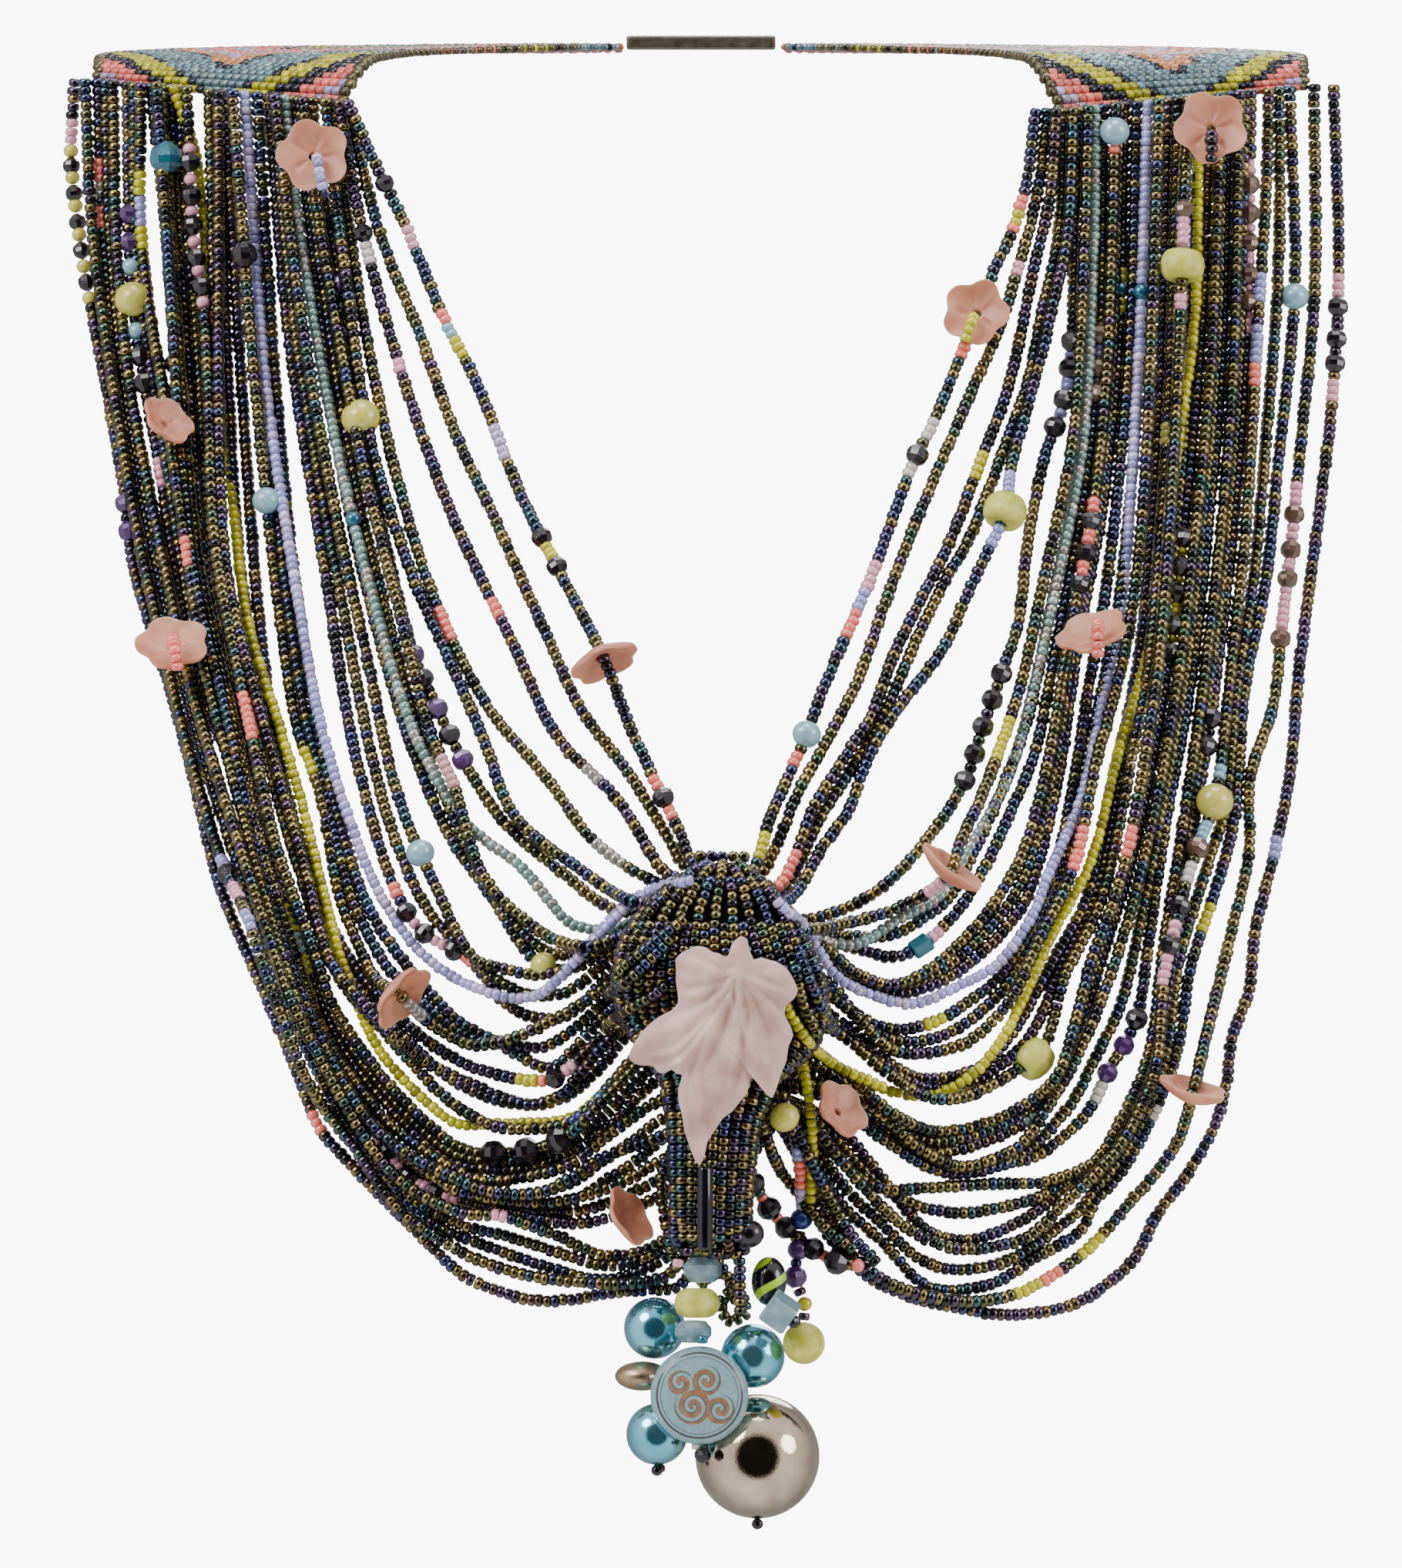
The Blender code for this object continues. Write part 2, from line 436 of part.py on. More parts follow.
def sampled(vertices, depth, reach):
    """Samples of a laid string as obstacles: x, z, depth, clearance."""
    rows = []
    for i in range(len(vertices) - 1):
        n = max(2, int(np.linalg.norm(vertices[i + 1] - vertices[i]) / STRING_SAMPLE))
        t = (np.arange(n) / n)[:, None]
        xz = vertices[i] * (1 - t) + vertices[i + 1] * t
        y = depth[i] * (1 - t) + depth[i + 1] * t
        rows.append(np.hstack([xz, y, np.full((n, 1), reach)]))
    return np.vstack(rows)


def front_over(obstacles, x, z, radius):
    """The frontmost depth among the obstacles within a circle."""
    near = obstacles[(obstacles[:, 0] - x) ** 2 + (obstacles[:, 1] - z) ** 2 < radius ** 2]
    return near[:, 2].min() if len(near) else float(chest(x, z))


def frame_towards(normal):
    """Rotation that takes local z to the given direction."""
    return Vector((0, 0, 1)).rotation_difference(Vector(normal)).to_matrix()


def mesh_object(name, slot, vertices, faces):
    mesh = bpy.data.meshes.new(name)
    mesh.from_pydata([tuple(c * MM for c in v) for v in vertices], [], faces)
    bm = bmesh.new()
    bm.from_mesh(mesh)
    bmesh.ops.recalc_face_normals(bm, faces=bm.faces)
    bm.to_mesh(mesh)
    bm.free()
    mesh.materials.append(bpy.data.materials[slot])
    made = bpy.data.objects.new(name, mesh)
    bpy.data.collections[OBJECT_NAME].objects.link(made)
    return made


def ring_solid(name, slot, centre, turn, loops, closed_profile):
    """Joins loops of equal size into a body: a ring when the profile closes, capped when not."""
    n = len(loops[0])
    vertices = [Vector(centre) + turn @ Vector(p) for loop in loops for p in loop]
    faces = []
    count = len(loops)
    for k in range(count if closed_profile else count - 1):
        a, b = k * n, ((k + 1) % count) * n
        for j in range(n):
            faces.append((a + j, a + (j + 1) % n, b + (j + 1) % n, b + j))
    if not closed_profile:
        faces.append(tuple(range(n)))
        faces.append(tuple(range((count - 1) * n, count * n)))
    return mesh_object(name, slot, vertices, faces)


def flower(name, centre, turn, radius):
    """A dished flower with a hole, its axis along local z."""
    sides = 4 * FLOWER_PETALS
    loops = []
    profile = [(0.0, 0.0), (0.55, 0.35), (1.0, 1.0), (1.0, 1.0), (0.0, 0.0)]
    sides_of = [0, 0, 0, 1, 1]
    for (out, rise), under in zip(profile, sides_of):
        loop = []
        for j in range(sides):
            a = 2 * math.pi * j / sides
            scallop = 1.0 - 0.16 * abs(math.cos(FLOWER_PETALS * a / 2)) ** 2 * out
            r = FLOWER_HOLE + (radius * scallop - FLOWER_HOLE) * out
            thick = FLOWER_THICK * (1.0 - 0.45 * out)
            z = rise * FLOWER_DISH - FLOWER_DISH / 2 - (thick if under else 0.0) + FLOWER_THICK / 2
            loop.append((r * math.cos(a), r * math.sin(a), z))
        loops.append(loop)
    return ring_solid(name, "petal_glass", centre, turn, loops, True)


def drilled_bead(name, slot, centre, turn, radius, height):
    """A round bead with a hole along local z."""
    sides = 14
    h = height / 2
    profile = [
        (RONDELLE_HOLE, h * 0.94), (radius * 0.62, h), (radius * 0.93, h * 0.55), (radius, 0.0),
        (radius * 0.93, -h * 0.55), (radius * 0.62, -h), (RONDELLE_HOLE, -h * 0.94),
    ]
    loops = []
    for r, z in profile:
        loops.append([
            (r * math.cos(2 * math.pi * j / sides), r * math.sin(2 * math.pi * j / sides), z)
            for j in range(sides)
        ])
    return ring_solid(name, slot, centre, turn, loops, True)


def turned(name, slot, centre, turn, profile, sides):
    """A body of revolution about local z, its profile given from one pole to the other."""
    vertices = [(0.0, 0.0, profile[0][1])]
    for r, z in profile[1:-1]:
        for j in range(sides):
            a = 2 * math.pi * j / sides
            vertices.append((r * math.cos(a), r * math.sin(a), z))
    vertices.append((0.0, 0.0, profile[-1][1]))
    last = len(vertices) - 1
    faces = []
    for j in range(sides):
        faces.append((0, 1 + j, 1 + (j + 1) % sides))
    for k in range(len(profile) - 3):
        a, b = 1 + k * sides, 1 + (k + 1) * sides
        for j in range(sides):
            faces.append((a + j, b + j, b + (j + 1) % sides, a + (j + 1) % sides))
    a = 1 + (len(profile) - 3) * sides
    for j in range(sides):
        faces.append((a + j, last, a + (j + 1) % sides))
    placed = [Vector(centre) + turn @ Vector(v) for v in vertices]
    return mesh_object(name, slot, placed, faces)


def ball_profile(radius, half, rings):
    return [
        (radius * math.sin(math.pi * k / rings), half * math.cos(math.pi * k / rings))
        for k in range(rings + 1)
    ]


def strings():
    """Lays every string and makes its tube; returns samples, vertex routes and places of beads."""
    obstacles = np.zeros((0, 4))
    places = {}
    reach = 2 * STRING_RADIUS + STRING_CLEARANCE
    for number in LAYING_ORDER:
        name, slot, left, right = STRINGS[number - 1]
        path = string_path(left, right)
        beads = [row for row in THREADED if row[1] == number]
        keep = []
        for row in beads:
            at = np.array(drawn(row[3], row[4]))
            keep.append(int(np.linalg.norm(path - at, axis=1).argmin()))
        index = fewer(path, STRING_TOLERANCE, STRING_LONGEST, keep)
        vertices = path[index]
        lifts = []
        for row, k in zip(beads, keep):
            x, z = path[k]
            need = row[6] + STRING_RADIUS + STRING_CLEARANCE
            others = obstacles
            if len(others):
                close = (others[:, 0] - x) ** 2 + (others[:, 1] - z) ** 2 < need ** 2
                if close.any():
                    lifts.append((index.index(k), others[close, 2].min() - need))
        depth = lay(vertices, obstacles, lifts)
        obstacles = np.vstack([obstacles, sampled(vertices, depth, reach)])
        for row, k in zip(beads, keep):
            i = index.index(k)
            point = Vector((vertices[i][0], depth[i], vertices[i][1]))
            after = Vector((vertices[i + 1][0], depth[i + 1], vertices[i + 1][1]))
            before = Vector((vertices[i - 1][0], depth[i - 1], vertices[i - 1][1]))
            tangent = ((after - point).normalized() + (point - before).normalized()).normalized()
            places[row[0]] = (point, tangent)
            spread = np.linspace(-row[6], row[6], 13)
            gx, gz = np.meshgrid(spread, spread)
            inside = gx ** 2 + gz ** 2 < row[6] ** 2
            x = point.x + gx[inside]
            z = point.z + gz[inside]
            y = np.full(x.shape, point.y - row[6])
            block = np.stack([x, z, y, np.full(x.shape, 1.6)], axis=1)
            obstacles = np.vstack([obstacles, block])
        curve = bpy.data.curves.new(name, "CURVE")
        curve.dimensions = "3D"
        curve.bevel_depth = STRING_RADIUS * MM
        curve.bevel_resolution = 1
        curve.use_fill_caps = True
        spline = curve.splines.new("POLY")
        spline.points.add(len(vertices) - 1)
        for target, (x, z), y in zip(spline.points, vertices, depth):
            target.co = (x * MM, y * MM, z * MM, 1.0)
        curve.materials.append(bpy.data.materials[slot])
        made = bpy.data.objects.new(name, curve)
        bpy.data.collections[OBJECT_NAME].objects.link(made)
    return obstacles, places


def threaded(places):
    for name, number, side, px, py, kind, radius, height in THREADED:
        point, tangent = places[name]
        if kind == "flower":
            lean = (tangent + Vector((0, -THREAD_LEAN, 0))).normalized()
            flower(name, point, frame_towards(lean), radius)
        else:
            turn = frame_towards(tangent)
            drilled_bead(name, "yellow_green_glass", point, turn, radius, height)


def band(side):
    """A band as a thick ribbon; side is -1 for left and 1 for right."""
    rows = []
    for k, (xi, yi, zi, xo, yo, zo) in enumerate(BAND_ROWS):
        fall = RIGHT_BAND_DROP * max(0.0, 1.0 - k / 3.0) if side > 0 else 0.0
        inner = Vector((-side * xi, yi, zi - fall))
        outer = Vector((-side * xo, yo, zo - fall * 0.6))
        rows.append((inner, outer))
    across = 4
    top, under = [], []
    for k, (inner, outer) in enumerate(rows):
        before = rows[max(k - 1, 0)]
        after = rows[min(k + 1, len(rows) - 1)]
        along = (after[0] + after[1]) - (before[0] + before[1])
        normal = (outer - inner).cross(along) * -side
        normal.normalize()
        if normal.z < 0:
            normal = -normal
        top.append([])
        under.append([])
        for j in range(across + 1):
            p = inner.lerp(outer, j / across)
            top[-1].append(p)
            under[-1].append(p - normal * BAND_THICK)
    vertices = []
    loops = len(rows)
    for k in range(loops):
        vertices += top[k] + under[k][::-1]
    n = 2 * (across + 1)
    faces = [tuple(range(n)), tuple(range((loops - 1) * n, loops * n))]
    for k in range(loops - 1):
        for j in range(n):
            a, b = k * n, (k + 1) * n
            faces.append((a + j, a + (j + 1) % n, b + (j + 1) % n, b + j))
    name = "band_left" if side < 0 else "band_right"
    mesh_object(name, "band_weave", vertices, faces)
    return np.array([[p.x, p.z, p.y, 1.6] for row in top for p in row])


def box(name, slot, centre, size):
    hx, hy, hz = (s / 2 for s in size)
    cx, cy, cz = centre
    vertices = [
        (cx + sx * hx, cy + sy * hy, cz + sz * hz)
        for sz in (-1, 1) for sx, sy in ((-1, -1), (1, -1), (1, 1), (-1, 1))
    ]
    faces = [(0, 1, 2, 3), (4, 5, 6, 7)]
    faces += [(j, (j + 1) % 4, 4 + (j + 1) % 4, 4 + j) for j in range(4)]
    return mesh_object(name, slot, vertices, faces)


def hump(obstacles):
    """The gathered middle, in front of the strings that cross behind it."""
    backs = []
    for py, left, right, thick in HUMP_ROWS:
        x0, z = drawn(left, py)
        x1, _ = drawn(right, py)
        near = obstacles[
            (obstacles[:, 0] > x0 - 1.6) & (obstacles[:, 0] < x1 + 1.6)
            & (np.abs(obstacles[:, 1] - z) < 7.5)
        ]
        backs.append(near[:, 2].min() if len(near) else 0.0)
    level = [min(backs[max(0, k - 1):k + 2]) for k in range(len(backs))]
    front_of = []
    loops = []
    for (py, left, right, thick), back in zip(HUMP_ROWS, level):
        x0, z = drawn(left, py)
        x1, _ = drawn(right, py)
        back = back - STRING_RADIUS - STRING_CLEARANCE
        if left > 940:
            back = front_of[12] + thick
        half = (x1 - x0) / 2
        loop = []
        for j in range(HUMP_SIDES):
            a = 2 * math.pi * (j + 0.5) / HUMP_SIDES
            c, s = math.cos(a), math.sin(a)
            x = (x0 + x1) / 2 + half * math.copysign(abs(c) ** 0.75, c) / 0.985
            y = back - thick / 2 + thick / 2 * math.copysign(abs(s) ** 0.6, s)
            loop.append((x, y, z))
        front_of.append(back - thick)
        loops.append(loop)
    ring_solid("gather_hump", "seed_dark", (0, 0, 0), Matrix.Identity(3), loops, False)
    return front_of


def leaf(front_of):
    """The leaf hanging in front of the hump."""
    back = min(front_of[3:10]) - LEAF_GAP
    centre = np.array(drawn(935, 1345))
    outline = np.array([drawn(*p) for p in LEAF_OUTLINE])
    rim = []
    for scale, y in ((1.0, back), (1.0, back - LEAF_THICK * 0.45), (0.82, back - LEAF_THICK)):
        rim.append([
            (centre[0] + (x - centre[0]) * scale, y, centre[1] + (z - centre[1]) * scale)
            for x, z in outline
        ])
    ring_solid("leaf_pendant", "leaf_glass", (0, 0, 0), Matrix.Identity(3), rim, False)
    return back


def tube(front_of):
    """The long bead under the leaf."""
    x, z_top = drawn(915, 1511)
    _, z_low = drawn(915, 1619)
    y = min(front_of[8:13]) - 0.4 - TUBE_RADIUS
    profile = [(0.0, 0.0), (TUBE_RADIUS, 0.0), (TUBE_RADIUS, z_top - z_low), (0.0, z_top - z_low)]
    turned("tube_bead", "tube_glass", (x, y, z_low), Matrix.Identity(3), profile, 12)


def cluster(face):
    """The drops at the bottom, each behind the face of the carved disc by its own distance."""
    forward = Matrix.Rotation(math.pi / 2, 3, "X")
    for name, slot, px, py, shape, radius, half, behind in CLUSTER:
        x, z = drawn(px, py)
        centre = (x, face + behind, z)
        upright = Matrix.Identity(3)
        if shape == "ball":
            turned(name, slot, centre, upright, ball_profile(radius, radius, 8), 14)
        elif shape == "ball_tall":
            turned(name, slot, centre, upright, ball_profile(radius, half, 8), 12)
        elif shape == "ball_knob":
            rings = 10
            profile = ball_profile(radius, radius, rings)[:-1]
            profile += [(0.75, -radius + 0.02), (1.0, -radius - 0.9), (0.6, -radius - 1.7)]
            profile += [(0.0, -radius - 1.8)]
            turned(name, slot, centre, upright, profile, 16)
        elif shape == "rondelle":
            profile = [
                (0.0, half), (radius * 0.62, half), (radius, half * 0.35), (radius, -half * 0.35),
                (radius * 0.62, -half), (0.0, -half),
            ]
            turned(name, slot, centre, upright, profile, 12)
        elif shape == "lentil":
            turned(name, slot, centre, upright, ball_profile(radius, half, 6), 14)
        elif shape == "coin":
            profile = [
                (0.0, half), (radius * 0.72, half * 0.9), (radius * 0.94, half * 0.5), (radius, 0.0),
                (radius * 0.94, -half * 0.5), (radius * 0.72, -half * 0.9), (0.0, -half),
            ]
            turned(name, slot, centre, forward, profile, 20)
        else:
            turn = Matrix.Rotation(math.radians(35), 3, "Y") @ Matrix.Rotation(math.radians(20), 3, "X")
            corners = [
                Vector(centre) + turn @ Vector((sx * radius, sy * radius, sz * half))
                for sz in (-1, 1) for sx, sy in ((-1, -1), (1, -1), (1, 1), (-1, 1))
            ]
            faces = [(0, 1, 2, 3), (4, 5, 6, 7)]
            faces += [(j, (j + 1) % 4, 4 + (j + 1) % 4, 4 + j) for j in range(4)]
            mesh_object(name, slot, corners, faces)


def petal_samples(turn, radius):
    """Points over the back of a flower, turned as it lies."""
    points = []
    for out in (0.0, 0.25, 0.5, 0.75, 1.0):
        r = FLOWER_HOLE + (radius - FLOWER_HOLE) * out
        z = out ** 1.6 * FLOWER_DISH - FLOWER_DISH / 2 + FLOWER_THICK / 2
        for thick in (0.0, FLOWER_THICK * (1.0 - 0.45 * out)):
            for j in range(24):
                a = 2 * math.pi * j / 24
                points.append(turn @ Vector((r * math.cos(a), r * math.sin(a), z - thick)))
    return np.array(points)


def lying_flowers(obstacles):
    """Flowers laid on the strings, each moved back until it meets the first of them."""
    for name, px, py, tilt, roll, radius in LYING_FLOWERS:
        x, z = drawn(px, py)
        turn = (
            Matrix.Rotation(math.radians(-roll), 3, "Y")
            @ Matrix.Rotation(math.pi / 2 - math.radians(tilt), 3, "X")
        )
        points = petal_samples(turn, radius)
        wide = (obstacles[:, 0] - x) ** 2 + (obstacles[:, 1] - z) ** 2 < (radius + 3.0) ** 2
        near = obstacles[wide]
        apart = (
            (points[:, None, 0] + x - near[None, :, 0]) ** 2
            + (points[:, None, 2] + z - near[None, :, 1]) ** 2
        )
        room = (STRING_RADIUS + STRING_CLEARANCE) ** 2 - apart
        reach = near[None, :, 2] - np.sqrt(np.maximum(room, 0)) - points[:, None, 1]
        y = np.where(room > 0, reach, 1e9).min()
        flower(name, (x, y, z), turn, radius)


def main():
    for item in list(bpy.data.objects):
        bpy.data.objects.remove(item)
    for title, hidden in ((OBJECT_NAME, False), ("cutters", True)):
        group = bpy.data.collections.new(title)
        group.hide_render = hidden
        bpy.context.scene.collection.children.link(group)
    for slot, (colour, metallic, roughness) in MATERIALS.items():
        material = bpy.data.materials.new(slot)
        material.use_nodes = True
        shader = material.node_tree.nodes["Principled BSDF"]
        shader.inputs["Base Color"].default_value = (*colour, 1.0)
        shader.inputs["Metallic"].default_value = metallic
        shader.inputs["Roughness"].default_value = roughness
        material.diffuse_color = (*colour, 1.0)
    edges = [band(-1), band(1)]
    box("clasp", "clasp_metal", CLASP_CENTRE, CLASP_SIZE)
    obstacles, places = strings()
    threaded(places)
    front_of = hump(obstacles)
    leaf(front_of)
    tube(front_of)
    low = obstacles[(np.abs(obstacles[:, 0] - 4.0) < 14.0) & (obstacles[:, 1] < -205.0)]
    face = min(low[:, 2].min() - CLUSTER_BEHIND, front_of[12] + 2.0)
    cluster(face)
    lying_flowers(np.vstack([obstacles] + edges))


if __name__ == "__main__":
    main()
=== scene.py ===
"""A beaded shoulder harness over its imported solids: every string is threaded with seed beads, the
shoulder bands are woven from cylinder beads, and the flowers, the leaf and the drops get their glass,
pearl and metal. Lengths are in millimetres until a mesh is made."""

import math

import bmesh
import bpy
import numpy as np
from bpy.props import FloatProperty, FloatVectorProperty, IntProperty, PointerProperty
from mathutils import Matrix, Vector


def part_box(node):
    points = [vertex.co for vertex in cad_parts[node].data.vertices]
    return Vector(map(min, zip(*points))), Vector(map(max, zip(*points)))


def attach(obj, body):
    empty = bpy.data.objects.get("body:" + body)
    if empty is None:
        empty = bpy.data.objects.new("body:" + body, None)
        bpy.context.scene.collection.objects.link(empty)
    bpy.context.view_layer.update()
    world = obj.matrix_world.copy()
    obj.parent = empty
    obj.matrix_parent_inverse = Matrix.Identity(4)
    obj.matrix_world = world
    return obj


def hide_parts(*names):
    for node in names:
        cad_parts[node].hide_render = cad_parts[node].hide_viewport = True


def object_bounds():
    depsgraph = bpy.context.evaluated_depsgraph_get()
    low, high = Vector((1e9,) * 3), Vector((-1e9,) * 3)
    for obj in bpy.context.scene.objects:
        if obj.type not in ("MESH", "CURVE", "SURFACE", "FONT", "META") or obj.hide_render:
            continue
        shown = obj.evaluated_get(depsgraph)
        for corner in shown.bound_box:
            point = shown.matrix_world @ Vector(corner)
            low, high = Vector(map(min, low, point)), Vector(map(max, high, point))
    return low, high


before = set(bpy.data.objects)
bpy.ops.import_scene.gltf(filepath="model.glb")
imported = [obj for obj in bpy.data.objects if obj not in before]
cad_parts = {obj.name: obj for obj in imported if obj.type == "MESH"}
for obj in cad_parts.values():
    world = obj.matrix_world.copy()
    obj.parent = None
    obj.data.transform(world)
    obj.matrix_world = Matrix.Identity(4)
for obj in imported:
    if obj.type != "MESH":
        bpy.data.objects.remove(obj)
CAD_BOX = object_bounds()

bl_info = {
    "name": "Beaded Shoulder Harness",
    "version": (1, 0, 0),
    "blender": (4, 5, 0),
    "location": "3D View > Sidebar > Harness",
    "description": "Threads, weaves and dresses a beaded shoulder harness over its packed solids",
    "category": "Add Mesh",
}

MM = 0.001
SHEET = (1820, 2035)

# The front view is laid out in drawing units, x to the right and y down.
UNITS_PER_MM = 7.4
UNIT_X0 = 910.0
UNIT_Z0 = 60.0

# Strings, as the solids lay them
STRING_RADIUS = 1.0
STRING_CLEARANCE = 0.36
STRING_TOLERANCE = 0.55
STRING_LONGEST = 34.0
STRING_SAMPLE = 0.7
STRING_TOP_GAP = 1.5
PIECE_CLEARANCE = 1.6
CHEST_TOP = 38.0
CHEST_SWELL = 50.0
CHEST_REACH = 190.0
CHEST_ROUND = 300.0

FLOWER_THICK = 1.5
FLOWER_DISH = 1.6
FLOWER_PETALS = 5
THREAD_LEAN = 0.22
BAND_THICK = 1.7
RIGHT_BAND_DROP = 1.6
LEAF_THICK = 2.6

# The rows drawn right of this are the thin tail, flush with the front of the row before it
TAIL_LEFT = 940
TAIL_ROW = 12

# Gathered middle: insets of its bead columns and of its core, room a column needs, roundness
COLUMNS_INSET = 0.95
CORE_INSET = 1.9
COLUMN_ROOM = 1.55
HUMP_ROUND_X = 0.75
HUMP_ROUND_Y = 0.6

# Spread of the beads' width, place and shade, and how much wider a cut bead is than drawn
WIDTH_SPREAD = 0.045
PLACE_SPREAD = 0.05
SHADE_SPREAD = 0.18
FACET_WIDER = 1.18
FOOT_SHEEN = 0.5
WEAVE_SPREAD = 0.22
WEAVE_DIM = 0.72

# Longest straight run of the strands that scene.py adds
STRAND_LONGEST = 12.0

